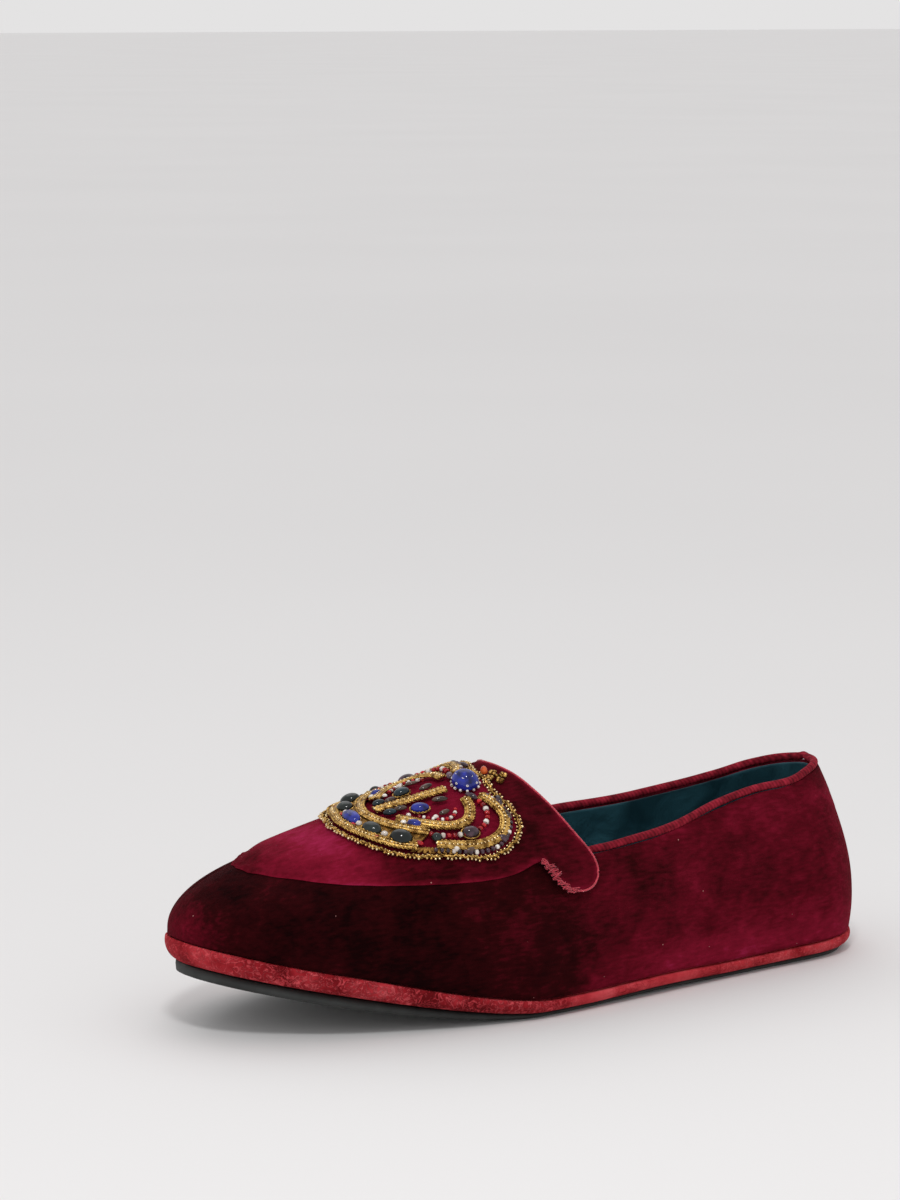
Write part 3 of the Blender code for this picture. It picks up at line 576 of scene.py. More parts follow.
def drawn(name, lines, radius, ribs=0.0, flatten=1.0, closed=False, fineness=2):
    """Wires or ribbons along lines, as a mesh. Ribs are how much thinner every second point is, flatten is
    the height of the section as a share of its width, and fineness is how finely it is rounded."""
    curve = bpy.data.curves.new(name, "CURVE")
    curve.dimensions = "3D"
    curve.twist_mode = "Z_UP"
    curve.bevel_depth = radius
    curve.bevel_resolution = fineness
    curve.use_fill_caps = True
    for line in lines:
        middle = line[len(line) // 2].z
        spline = curve.splines.new("POLY")
        spline.use_cyclic_u = closed
        spline.points.add(len(line) - 1)
        for i, (point, place) in enumerate(zip(spline.points, line)):
            point.co = (place.x, place.y, (place.z - middle) / flatten, 1.0)
            point.radius = 1 - ribs * (i % 2)
    piece = bpy.data.objects.new(name, curve)
    bpy.context.scene.collection.objects.link(piece)
    select_only(piece)
    bpy.ops.object.convert(target="MESH")
    piece = bpy.context.object
    height = lines[0][len(lines[0]) // 2].z
    for point in piece.data.vertices:
        point.co.z = point.co.z * flatten + height
    bpy.ops.object.mode_set(mode="EDIT")
    bpy.ops.mesh.select_all(action="SELECT")
    bpy.ops.mesh.remove_doubles(threshold=WIRE_MERGE)
    bpy.ops.mesh.normals_make_consistent(inside=False)
    bpy.ops.object.mode_set(mode="OBJECT")
    bpy.ops.object.shade_smooth()
    return piece


def copies(name, model, places):
    """One mesh of many copies of a model, each at its own place, turn and size. The model is used up."""
    pieces = []
    for place in places:
        piece = bpy.data.objects.new(name, model.data.copy())
        piece.data.transform(place)
        bpy.context.scene.collection.objects.link(piece)
        pieces.append(piece)
    bpy.data.objects.remove(model, do_unlink=True)
    return joined(name, *pieces)


def joined(name, *pieces):
    """Pieces made into one."""
    bpy.ops.object.select_all(action="DESELECT")
    for piece in pieces:
        piece.select_set(True)
    bpy.context.view_layer.objects.active = pieces[0]
    bpy.ops.object.join()
    pieces[0].name = name
    return pieces[0]


def drilled_bead(radius):
    """A round glass bead with its hole along X, a quarter as wide as the bead."""
    hole = radius / 4
    bpy.ops.object.select_all(action="DESELECT")
    bpy.ops.mesh.primitive_torus_add(
        major_segments=8, minor_segments=6, major_radius=(radius + hole) / 2, minor_radius=(radius - hole) / 2
    )
    bead = bpy.context.object
    bpy.ops.object.mode_set(mode="EDIT")
    bpy.ops.mesh.select_all(action="SELECT")
    # Stretched along its hole, the flat ring becomes a round bead
    stretch = 1.9
    bpy.ops.transform.resize(value=(1, 1, stretch), center_override=(0, 0, 0))
    bpy.ops.object.mode_set(mode="OBJECT")
    bead.data.transform(Matrix.Rotation(math.radians(90), 4, "Y"))
    bpy.ops.object.shade_smooth()
    return bead


def threaded(name, line, radius, pitch, closed=False, skip=lambda i: False):
    """Beads threaded along a line, their holes along it. Skip says which of them are left out."""
    points = even_points(line, pitch, closed)
    places = []
    for i, (point, way) in enumerate(zip(points, directions(points, closed))):
        if not skip(i):
            places.append(Matrix.Translation(point) @ way.to_track_quat("X", "Z").to_matrix().to_4x4())
    return copies(name, drilled_bead(radius), places)


def crown_place(along, across, turned, height):
    """A place by shares of the crown, turned by degrees, which mirror on the inner half."""
    side = -1 if across < 0 else 1
    place = Vector((along * CROWN_LENGTH, -across * CROWN_WIDTH / 2, height))
    return Matrix.Translation(place) @ Matrix.Rotation(math.radians(turned) * side, 4, "Z")


def cabochon(name, along, across, turned, half_width, half_length, rise):
    """A domed stone with a flat foot, by shares of the crown. It lies across it before it is turned."""
    bpy.ops.object.select_all(action="DESELECT")
    bpy.ops.mesh.primitive_uv_sphere_add(segments=24, ring_count=16, radius=1.0)
    stone = bpy.context.object
    stone.name = name
    bpy.ops.object.mode_set(mode="EDIT")
    bpy.ops.mesh.select_all(action="SELECT")
    # The foot is cut a little below the widest part, and the stone set down on it
    foot = 0.15
    bpy.ops.mesh.bisect(plane_co=(0, 0, -foot), plane_no=(0, 0, -1), clear_outer=True, use_fill=True)
    bpy.ops.mesh.select_all(action="SELECT")
    bpy.ops.transform.translate(value=(0, 0, foot))
    bpy.ops.transform.resize(value=(half_width, half_length, rise), center_override=(0, 0, 0))
    bpy.ops.object.mode_set(mode="OBJECT")
    stone.data.transform(crown_place(along, across, turned, STONE_FOOT))
    bpy.ops.object.shade_smooth()
    return stone


def oval(along, across, turned, half_width, half_length, height):
    """A closed flat line round a stone."""
    place = crown_place(along, across, turned, height)
    corners = [2 * math.pi * i / OVAL_POINTS for i in range(OVAL_POINTS)]
    return [place @ Vector((half_width * math.cos(c), half_length * math.sin(c), 0)) for c in corners]


def skin_of(*pieces):
    """The skin of one or more pieces, in which a ray's hit or the nearest spot can be found."""
    form = bmesh.new()
    for piece in pieces:
        form.from_mesh(piece.data)
    skin = BVHTree.FromBMesh(form)
    form.free()
    return skin


def vamp_grid(*pieces):
    """Points and outward directions of the vamp's skin, by rows along the crown and columns across it."""
    skin = skin_of(*pieces)
    rows = []
    for along in VAMP_ALONG:
        share = along / CROWN_LENGTH
        crest_x = CREST_FOOT[0] + (CREST_HEAD[0] - CREST_FOOT[0]) * share
        crest_y = CREST_FOOT[1] + (CREST_HEAD[1] - CREST_FOOT[1]) * share
        middle_y = MIDDLE_FOOT_Y + (MIDDLE_HEAD_Y - MIDDLE_FOOT_Y) * share
        line = []
        for degrees in ROW_DEGREES:
            way = Vector((0, math.sin(math.radians(degrees)), math.cos(math.radians(degrees))))
            sweep = ROW_SWEEP * max(0.0, 1 - share) ** 2 * abs(VAMP_REACH * way.y - crest_y)
            start = Vector((crest_x - sweep, 0, VAMP_AXIS_HEIGHT)) + way * OUTSIDE
            hit = skin.ray_cast(start, -way)[0]
            if hit:
                line.append(hit)
        walked = numpy.cumsum([0.0] + [(b - a).length for a, b in zip(line, line[1:])])
        middle = numpy.interp(middle_y, [p.y for p in line], walked)
        stops = [middle + across for across in VAMP_ACROSS]
        rows.append(numpy.stack([numpy.interp(stops, walked, [p[k] for p in line]) for k in range(3)], 1))
    points = numpy.array(rows)
    ways = numpy.cross(numpy.gradient(points, axis=0), numpy.gradient(points, axis=1))
    return points, ways / numpy.linalg.norm(ways, axis=2, keepdims=True)


def laid_on_vamp(piece, grid):
    """Lays a piece that was made flat, x along the crown and y across it, on the vamp."""
    points, ways = grid
    flat = numpy.array([list(v.co) for v in piece.data.vertices])
    row = numpy.clip((flat[:, 0] - VAMP_ALONG[0]) / ROW_STEP, 0, len(VAMP_ALONG) - 1.001)
    column = numpy.clip((flat[:, 1] - VAMP_ACROSS[0]) / COLUMN_STEP, 0, len(VAMP_ACROSS) - 1.001)
    i, j = row.astype(int), column.astype(int)
    s, t = (row - i)[:, None], (column - j)[:, None]

    def between(values):
        near = values[i, j] * (1 - t) + values[i, j + 1] * t
        far = values[i + 1, j] * (1 - t) + values[i + 1, j + 1] * t
        return near * (1 - s) + far * s

    laid = between(points) + between(ways) * flat[:, 2:3]
    piece.data.vertices.foreach_set("co", laid.ravel())
    piece.data.update()
    return piece


def make_crown_ground(grid):
    """Padded felt under the whole crown, covered in velvet, with its rim rounded over."""
    edge = whole_line(CROWN_EDGE)
    bpy.ops.object.select_all(action="DESELECT")
    bpy.ops.mesh.primitive_circle_add(vertices=len(edge) - 1, radius=1.0, fill_type="NGON")
    ground = bpy.context.object
    ground.name = "crown_ground"
    for point, place in zip(ground.data.vertices, edge):
        point.co = place
    bpy.ops.object.mode_set(mode="EDIT")
    bpy.ops.mesh.select_all(action="SELECT")
    bpy.ops.mesh.normals_make_consistent(inside=False)
    bpy.ops.mesh.extrude_region_move(TRANSFORM_OT_translate={"value": (0, 0, GROUND_TOP - RIM_RISE)})
    bpy.ops.mesh.inset(thickness=RIM_WIDTH, depth=RIM_RISE)
    bpy.ops.mesh.inset(thickness=RIM_RING, depth=0.0)
    bpy.ops.mesh.poke()
    bpy.ops.mesh.subdivide(number_cuts=3)
    bpy.ops.mesh.select_all(action="SELECT")
    bpy.ops.mesh.normals_make_consistent(inside=False)
    bpy.ops.object.mode_set(mode="OBJECT")
    ground.data.transform(Matrix.Translation((0, 0, -FELT_SINK)))
    bpy.ops.object.shade_smooth()
    laid_on_vamp(ground, grid)
    nap_and_sheen_attribute(ground, lambda point: GROUND_TONE - NAP_MEAN)
    dress(ground, UPPER_VELVET, "gilt_bullion", "crown_base")


def make_crown_bed(grid):
    """Dull gilt wire couched from side to side: under the row of stones and on the crown's outer corners."""
    lines = []
    for side in (1, -1):
        for near, far in ((CIRCLET_FRONT, CIRCLET_BACK), (CORNER_INNER, CORNER_OUTER)):
            ends = [even_points(crown_line(rows, side, GROUND_TOP), pitch=MM) for rows in (near, far)]
            count = min(len(e) for e in ends) * 2
            line = []
            for i in range(count):
                rows = ends[i % 2]
                line.append(rows[round(i * (len(rows) - 1) / (count - 1))])
            lines.append(even_points(line, pitch=0.45 * MM))
    bed = drawn("crown_bed", lines, radius=0.62 * MM, ribs=0.25, flatten=0.7, fineness=1)
    dress(laid_on_vamp(bed, grid), DULL_BULLION, "gilt_bullion")


def make_crown_wires(grid):
    """Bullion ribbons: two circlets, four arches and an upright, each two flat coils side by side, with
    bright seeds in the groove between them and a twisted wire along both edges."""
    ribbons = {
        "circlets": (
            [whole_line(rows, WIRE_HEIGHT) for rows in (CIRCLET_FRONT, CIRCLET_BACK)], CIRCLET_HALF_WIDTH,
        ),
        "arches": (
            [crown_line(rows, side, WIRE_HEIGHT) for rows in (OUTER_ARCH, INNER_ARCH) for side in (1, -1)]
            + [crown_line(UPRIGHT, 1, WIRE_HEIGHT)],
            ARCH_HALF_WIDTH,
        ),
    }
    nodes = {
        "circlets": ("crown_circlet_front", "crown_circlet_back"),
        "arches": (
            "crown_outer_arch_left", "crown_outer_arch_right",
            "crown_inner_arch_left", "crown_inner_arch_right", "crown_upright",
        ),
    }
    sparkle = []
    for part, (lines, half_width) in ribbons.items():
        tracks = []
        for line in lines:
            fine = even_points(raised(line, -0.35 * MM), pitch=0.36 * MM)
            tracks += [beside(fine, share * half_width) for share in (-0.5, 0.5)]
        body = drawn("ribbon", tracks, radius=half_width * 0.56, ribs=0.16, flatten=0.85)
        edges = []
        for line in lines:
            fine = even_points(line, pitch=0.5 * MM)
            for side in (1, -1):
                low = raised(beside(fine, side * (half_width + 0.15 * MM)), -0.3 * MM)
                edges += [twisted(low, radius=0.2 * MM, pitch=1.4 * MM, phase=phase) for phase in (0.0, 0.5)]
            sparkle.append(threaded("seed", raised(fine, 0.1 * MM), radius=0.42 * MM, pitch=1.3 * MM))
        cords = drawn("cord", edges, radius=0.24 * MM, fineness=1)
        piece = joined("crown_" + part, body, cords)
        laid_on_vamp(piece, grid)
        dress(piece, BULLION, "gilt_bullion", *nodes[part])
    seeds = laid_on_vamp(joined("crown_ribbon_seeds", *sparkle), grid)
    dress(seeds, BRIGHT_SEED, "gilt_bullion")


def make_crown_edge(grid):
    """A scalloped cord of two gilt strands round the crown, with gilt seed beads inside and outside it."""
    line = even_points(whole_line(CROWN_EDGE, EDGE_HEIGHT)[:-1], pitch=0.8 * MM, closed=True)
    scallops = round(len(line) / SCALLOP_POINTS)
    swing = [SCALLOP_SWING * abs(math.sin(math.pi * scallops * i / len(line))) for i in range(len(line))]
    wavy = [p - UP.cross(way) * (s - 0.1 * MM) for p, way, s in zip(line, directions(line, True), swing)]
    inner = beside(wavy, 0.9 * MM, closed=True)
    strands = [twisted(inner, 0.28 * MM, pitch=2.2 * MM, phase=phase, closed=True) for phase in (0.0, 0.5)]
    cord = drawn("crown_edge_cord", strands, radius=0.34 * MM, closed=True, fineness=1)
    dress(laid_on_vamp(cord, grid), BULLION, "gilt_bullion")
    outer = raised(beside(wavy, 0.1 * MM, closed=True), -0.7 * MM)
    beads = threaded("outer", outer, radius=0.52 * MM, pitch=1.5 * MM, closed=True)
    within = raised(beside(wavy, 1.75 * MM, closed=True), -0.1 * MM)
    more = threaded(
        "inner", within, radius=0.46 * MM, pitch=1.35 * MM, closed=True, skip=lambda i: i % 5 == 4
    )
    dress(laid_on_vamp(joined("crown_seed_beads", beads, more), grid), BRIGHT_SEED, "gilt_bullion")


def make_crown_stones(grid):
    """Domed glass stones, each in a ring of twisted gilt wire, and small stones set in pairs."""
    rings = []
    for name, along, across, turned, half_width, half_length, material, node in STONES:
        rise = half_width * 0.85 * MM
        stone = cabochon(name, along, across, turned, half_width * MM, half_length * MM, rise)
        dress(laid_on_vamp(stone, grid), material, "stone_glass", node)
        line = oval(along, across, turned, (half_width + 0.2) * MM, (half_length + 0.2) * MM, STONE_FOOT)
        rings += [twisted(line, 0.17 * MM, pitch=1.2 * MM, phase=phase, closed=True) for phase in (0.0, 0.5)]
    settings = drawn("crown_stone_settings", rings, radius=0.2 * MM, closed=True, fineness=1)
    dress(laid_on_vamp(settings, grid), BULLION, "gilt_bullion")
    pairs = {}
    for name, along, across, turned, half_width, half_length, material in SMALL_STONES:
        sizes = half_width * MM, half_length * MM, half_width * MM
        for side in (1, -1):
            stone = cabochon(name, along, across * side, turned, *sizes)
            pairs.setdefault(material.name, (material, []))[1].append(stone)
    for name, (material, stones) in pairs.items():
        dress(laid_on_vamp(joined("crown_small_" + name, *stones), grid), material, "stone_glass")


def make_crown_head(grid):
    """The orb of cobalt glass, studded and ringed with pearls, an orange bead and the gilt flower by it."""
    orb = cabochon("crown_orb_glass", ORB_ALONG, 0.0, 0, ORB_HALF_WIDTH, ORB_HALF_LENGTH, ORB_RISE)
    dress(laid_on_vamp(orb, grid), COBALT, "stone_glass", "crown_orb")
    ring = oval(ORB_ALONG, 0.0, 0, ORB_HALF_WIDTH + 0.1 * MM, ORB_HALF_LENGTH - 0.1 * MM, STONE_FOOT)
    pearls = threaded("ring", ring, radius=0.6 * MM, pitch=2.1 * MM, closed=True)
    places = []
    for lift, count in STUD_ROWS:
        out, rise = math.cos(math.radians(lift)), math.sin(math.radians(lift))
        for stud in range(count):
            # Adding the lift turns each row on from the one below it
            turn = 2 * math.pi * stud / count + lift
            flat = ORB_HALF_WIDTH * out * math.cos(turn), ORB_HALF_LENGTH * out * math.sin(turn)
            spot = Vector((*flat, STUD_RISE * rise))
            place = Vector((ORB_ALONG * CROWN_LENGTH, 0, STONE_FOOT)) + spot
            places.append(Matrix.Translation(place) @ spot.to_track_quat("X", "Z").to_matrix().to_4x4())
    studs = copies("studs", drilled_bead(0.5 * MM), places)
    dress(laid_on_vamp(joined("crown_orb_pearls", pearls, studs), grid), PEARL, "stone_glass")
    bead = cabochon("crown_orange_bead", 1.00, -0.10, 30, 1.1 * MM, 1.5 * MM, 2.0 * MM)
    dress(laid_on_vamp(bead, grid), ORANGE_GLASS, "stone_glass")
    middle = Vector((FLOWER_ALONG * CROWN_LENGTH, 0, FLOWER_HEIGHT))
    places = [Matrix.Translation(middle)]
    for petal in range(4):
        turn = Matrix.Rotation(math.radians(90 * petal), 4, "Z")
        for x, y in PETAL_BEADS:
            places.append(Matrix.Translation(middle + turn @ Vector((x * MM, y * MM, -0.3 * MM))) @ turn)
    flower = laid_on_vamp(copies("crown_flower", drilled_bead(0.75 * MM), places), grid)
    dress(flower, BULLION, "gilt_bullion", "crown_finial")


def make_crown_beads(grid):
    """Strings of small beads on the ground between the ribbons."""
    red, pearl, lilac = [], [], []
    for side in (1, -1):
        line = crown_line(BEAD_RUN, side, BEAD_HEIGHT + 0.2 * MM)
        red.append(threaded("red", line, radius=0.95 * MM, pitch=1.9 * MM, skip=lambda i: i % 3 == 2))
        pearl.append(threaded("pearl", line, radius=1.0 * MM, pitch=1.9 * MM, skip=lambda i: i % 3 != 2))
        line = crown_line(INNER_RUN, side, BEAD_HEIGHT)
        red.append(threaded("red", line, radius=0.7 * MM, pitch=1.5 * MM, skip=lambda i: i % 2))
        pearl.append(threaded("pearl", line, radius=0.7 * MM, pitch=1.5 * MM, skip=lambda i: i % 2 == 0))
        line = crown_line(MARGIN_RUN, side, BEAD_HEIGHT)
        lilac.append(threaded("lilac", line, radius=0.85 * MM, pitch=1.9 * MM, skip=lambda i: i % 4 == 3))
        pearl.append(threaded("pearl", line, radius=0.85 * MM, pitch=1.9 * MM, skip=lambda i: i % 4 != 3))
    for name, pieces, material in (
        ("crown_red_beads", red, RED_GLASS),
        ("crown_pearl_beads", pearl, PEARL),
        ("crown_lilac_beads", lilac, LILAC),
    ):
        dress(laid_on_vamp(joined(name, *pieces), grid), material, "stone_glass")


def make_crown(upper, apron):
    """The crown's pieces, each made flat and laid on the vamp."""
    grid = vamp_grid(upper, apron)
    make_crown_ground(grid)
    make_crown_bed(grid)
    make_crown_wires(grid)
    make_crown_edge(grid)
    make_crown_stones(grid)
    make_crown_head(grid)
    make_crown_beads(grid)


UPPER_VELVET = silk_velvet()
BAND_VELVET = crushed_velvet()
TAPE_VELVET = stitched_tape()
SATIN = satin()
RUBBER = rubber()
THREAD = cotton_thread()
BULLION = bullion("gilt_bullion_wire", "6a4819", "d8ae60", 0.27)
BRIGHT_SEED = bullion("bright_gilt_seed_beads", "c89c54", "fdebbe", 0.2)
DULL_BULLION = bullion("dull_gilt_wire", "523410", "a67c3c", 0.45)
COBALT = glass("cobalt_glass", "26329c", "0b0f46")
SMOKE = glass("smoky_grey_glass", "222c29", "080d0d")
BOTTLE = glass("black_green_glass", "0a1815", "020504")
PETROL = glass("petrol_glass", "14303a", "060e12")
LILAC = glass("lilac_smoke_glass", "5c424e", "22161c")
LEAF = glass("brown_smoke_glass", "5a4438", "1e1410")
RED_GLASS = glass("red_glass", "c01c22", "6a0a0e")
ORANGE_GLASS = glass("orange_glass", "e06a30", "b03a14")
PEARL = glass("pearl_glass", "f2ece4", "bdb0a6")

# Stones of the crown: name, place along and across in shares, turn in degrees, half width and length in
# millimetres, glass, and the solid that each stands for
STONES = (
    ("crown_stone_middle", 0.122, 0.00, 0.0, 2.6, 4.4, COBALT, "crown_stone_1"),
    ("crown_stone_smoke", 0.172, 0.32, 24.0, 2.5, 3.4, SMOKE, "crown_stone_2"),
    ("crown_stone_smoke_inner", 0.172, -0.32, 24.0, 2.5, 3.4, SMOKE, "crown_stone_3"),
    ("crown_stone_bottle", 0.290, 0.57, 46.0, 3.0, 3.6, BOTTLE, "crown_stone_4"),
    ("crown_stone_bottle_inner", 0.290, -0.57, 46.0, 3.0, 3.6, BOTTLE, "crown_stone_5"),
    ("crown_stone_blue", 0.500, 0.20, 70.0, 2.1, 2.9, COBALT, "crown_stone_6"),
    ("crown_stone_petrol", 0.500, -0.20, 70.0, 2.1, 2.9, PETROL, "crown_stone_7"),
    ("crown_stone_lilac", 0.690, 0.705, 80.0, 2.2, 2.8, LILAC, "crown_stone_8"),
    ("crown_stone_lilac_inner", 0.690, -0.705, 80.0, 2.2, 2.8, LILAC, "crown_stone_9"),
)

# Small stones on one half of the crown, set in pairs, with the same columns but the last
SMALL_STONES = (
    ("pearl_a", 0.130, 0.165, 0.0, 1.0, 1.0, PEARL),
    ("pearl_b", 0.215, 0.455, 0.0, 1.1, 1.1, PEARL),
    ("red_a", 0.095, 0.150, 10.0, 0.8, 1.1, RED_GLASS),
    ("red_b", 0.165, 0.470, 30.0, 0.8, 1.2, RED_GLASS),
    ("red_c", 0.370, 0.700, 40.0, 0.9, 1.3, RED_GLASS),
    ("cobalt_a", 0.405, 0.420, 50.0, 1.6, 2.3, COBALT),
    ("pearl_c", 0.355, 0.360, 0.0, 1.0, 1.0, PEARL),
    ("petrol_a", 0.330, 0.130, 80.0, 1.3, 2.2, PETROL),
    ("smoke_a", 0.480, 0.680, 0.0, 1.7, 1.7, SMOKE),
    ("leaf_a", 0.400, 0.115, 80.0, 1.0, 2.2, LEAF),
    ("leaf_b", 0.640, 0.150, 75.0, 1.1, 2.6, LEAF),
    ("leaf_c", 0.610, 0.360, 100.0, 0.9, 2.0, LEAF),
    ("leaf_d", 0.820, 0.230, 30.0, 1.1, 2.2, LILAC),
    ("pearl_d", 0.545, 0.400, 0.0, 0.9, 0.9, PEARL),
    ("pearl_e", 0.410, 0.265, 0.0, 0.8, 0.8, PEARL),
    ("leaf_e", 0.955, 0.380, -10.0, 1.0, 2.2, LILAC),
    ("leaf_f", 0.960, 0.590, 10.0, 1.0, 2.0, LEAF),
    ("leaf_g", 0.870, 0.850, 60.0, 1.1, 1.9, LILAC),
    ("pearl_f", 0.560, 0.870, 0.0, 1.0, 1.0, PEARL),
    ("leaf_h", 0.640, 0.915, 100.0, 1.0, 1.8, LEAF),
)
# Runs of beads on one half: between the arches, inside the inner arch and along the margin
BEAD_RUN = ((0.46, 0.62), (0.54, 0.69), (0.62, 0.71), (0.74, 0.70), (0.82, 0.60), (0.85, 0.46), (0.84, 0.34))
INNER_RUN = ((0.46, 0.33), (0.56, 0.45), (0.64, 0.45), (0.68, 0.36))
MARGIN_RUN = (
    (0.44, 0.83), (0.58, 0.91), (0.72, 0.96), (0.84, 0.92),
    (0.92, 0.80), (0.96, 0.66), (0.95, 0.46), (0.91, 0.28),
)


def ease(value):
    """Rises smoothly from 0 to 1."""
    value = max(0.0, min(1.0, value))
    return value * value * (3 - 2 * value)


def rims(node, angle):
    """The sharp edges of a solid as lines of points, the longest first, each as straight as it can be."""
    form = bmesh.new()
    form.from_mesh(NODES[node].data)
    bmesh.ops.remove_doubles(form, verts=form.verts, dist=MERGE)
    sharp = {e.index: e for e in form.edges if len(e.link_faces) == 2 and e.calc_face_angle(0) > angle}
    lines = []
    while sharp:
        edge = sharp.pop(min(sharp))
        line = [edge.verts[0], edge.verts[1]]
        for _ in (0, 1):
            while True:
                ahead = (line[-1].co - line[-2].co).normalized()
                ways = [(e.other_vert(line[-1]), e) for e in line[-1].link_edges if e.index in sharp]
                if not ways:
                    break
                point, edge = max(ways, key=lambda way: ahead.dot((way[0].co - line[-1].co).normalized()))
                del sharp[edge.index]
                line.append(point)
            line.reverse()
        lines.append([v.co.copy() for v in line])
    form.free()
    return sorted(lines, key=len, reverse=True)


# Creases of the upper, pressed in: where each starts and ends on the outer side, as x and z in
# millimetres, its half width and its depth, which is below zero for a ridge
CREASES = (
    (34, 38, 58, 17, 3.2, 0.7),
    (43, 46, 63, 30, 3.0, 0.5),
    (62, 52, 80, 34, 4.0, -0.6),
    (6, 22, 34, 14, 3.5, 0.5),
    (-20, 20, 10, 19, 3.0, 0.6),
    (-52, 34, -34, 20, 4.0, 0.35),
    (86, 40, 104, 22, 4.5, 0.5),
    (-84, 42, -70, 22, 5.0, 0.3),
)


def creased(piece):
    """Presses the creases into the upper's skin on both sides of the shoe."""
    normals = [n.vector.copy() for n in piece.data.vertex_normals]
    for point, normal in zip(piece.data.vertices, normals):
        if abs(point.co.y) < CALM_WIDTH:
            continue
        spot = Vector((point.co.x, point.co.z))
        wave = math.sin(spot.x / WAVE_LENGTH + spot.y / WAVE_LEAN)
        depth = WAVE_DEPTH * wave * ease((spot.y - WAVE_FOOT) / WAVE_FADE)
        for x0, z0, x1, z1, half_width, press in CREASES:
            start, end = Vector((x0, z0)) * MM, Vector((x1, z1)) * MM
            run = end - start
            share = max(0.0, min(1.0, (spot - start).dot(run) / run.length_squared))
            away = (spot - start - run * share).length
            # Deepest half way along, and a quarter as deep at its ends before it fades
            depth += press * MM * around(away, 0.0, half_width * MM) * (4 * share * (1 - share) + 0.25)
        inward = -1 if point.co.y * normal.y > 0 else 1
        point.co += normal * depth * inward


def make_upper():
    """Vamp and quarters in silk velvet, lined with satin."""
    upper = smooth_copy("upper", "upper_velvet", levels=2, crease_angle=math.radians(50))
    dress(upper, UPPER_VELVET, "upper_velvet", "upper")
    upper.data.materials.append(SATIN)
    for face in upper.data.polygons:
        height = HOLLOW_HEIGHT if face.center.x > BALL_X else TOE_HOLLOW_HEIGHT
        axis = Vector((max(HOLLOW_FRONT, min(HOLLOW_BACK, face.center.x)), 0.0, height))
        if (face.center - axis).dot(face.normal) < 0:
            face.material_index = 1
    creased(upper)

    def nap(point):
        """Painted sheen: near black on the vamp's side, redder on the quarter, and lighter, as if brushed
        over, at toe, heel and foot.
        """
        place = point.co
        quarter = ease((place.x - QUARTER_START) / QUARTER_RUN)
        tone = VAMP_TONE + QUARTER_LIFT * quarter
        tone += hump(place.x, TOE_HUMP) * ease((place.z - TOE_FOOT) / TOE_FADE) + hump(place.x, HEEL_HUMP)
        tone += (hump(place.z, FOOT_HUMP) + hump(place.z, TOPLINE_HUMP)) * quarter
        return tone - NAP_MEAN

    nap_and_sheen_attribute(upper, nap)
    return upper


def make_apron(upper):
    """Plug, tongue and tabs. The plug's edge rolls down to its seam, and the tongue and tabs keep theirs. It
    returns the apron and the line of its outer edge."""
    apron = smooth_copy("apron", "apron_velvet", levels=2, crease_angle=math.radians(50))
    dress(apron, UPPER_VELVET, "apron_velvet", "apron")
    edges = rims("apron", math.radians(50))
    samples = [p for line in edges[:2] for p in even_points(line, pitch=0.7 * MM)]
    near = KDTree(len(samples))
    for i, point in enumerate(samples):
        near.insert(point, i)
    near.balance()
    skin = skin_of(upper)
    seam = {}
    for point in apron.data.vertices:
        away = near.find(point.co)[2]
        seam[point.index] = away
        plug = 1 - ease((point.co.x - PLUG_END) / PLUG_FADE)
        foot, _, _, height = skin.find_nearest(point.co)
        if foot is None or plug == 0 or away > SEAM_REACH or height > SEAM_HEIGHT:
            continue
        # The stitches pinch the roll in two fine waves
        pinch = 0.14 * math.sin(point.co.x / (1.7 * MM))
        pinch += 0.10 * math.sin(point.co.x / (0.9 * MM) + point.co.y / MM)
        padding = (ROLL_HEIGHT + pinch) * around(away, ROLL_PLACE, ROLL_WIDTH)
        roll = 1 - plug * (1 - padding - ease(away / SEAM_REACH))
        out = (point.co - foot).normalized()
        point.co = foot + out * (height * roll + SEAM_GAP * (1 - roll))

    def nap(point):
        """Painted sheen: bright ahead of the crown, dark beside and behind it, and a painted highlight along
        the edge.
        """
        place = point.co
        front = 1 - ease((place.x - FRONT_END) / FRONT_RUN)
        tone = APRON_TONE + FRONT_LIFT * front
        tone += TONGUE_LIFT * ease((place.x - TONGUE_START) / TONGUE_RUN)
        tone += hump(place.x, LIT_HUMP) * (0.6 + 0.4 * around(place.y, 0.0, LIT_WIDTH))
        tone += hump(seam[point.index], EDGE_HUMP) * (1 - 0.7 * front)
        return tone - NAP_MEAN

    nap_and_sheen_attribute(apron, nap)
    return apron, max(edges[:2], key=lambda line: sum(p.z for p in line))


def make_sole():
    """The velvet band round the platform, the rubber outsole and the satin sock."""
    band = smooth_copy("midsole", "velvet_band", levels=2, crease_angle=math.radians(60))
    dress(band, BAND_VELVET, "band_velvet", "midsole")

    def crushed(point):
        """Curled at the forefoot, flat at the toe's tip and the heel, and brushed brightest at the waist."""
        x = point.co.x
        curled = ease((CURL_BACK - x) / CURL_RUN) * ease((x - CURL_FRONT) / CURL_FADE)
        return BAND_TONE + hump(x, WAIST_HUMP) + CURL_LIFT * curled

    nap_and_sheen_attribute(band, crushed)
    outsole = smooth_copy("outsole", "rubber_outsole", levels=1, crease_angle=math.radians(60))
    dress(outsole, RUBBER, "outsole_rubber", "outsole")
    sock = smooth_copy("insole", "satin_sock", levels=1, crease_angle=math.radians(60))
    dress(sock, SATIN, "satin_lining", "insole")


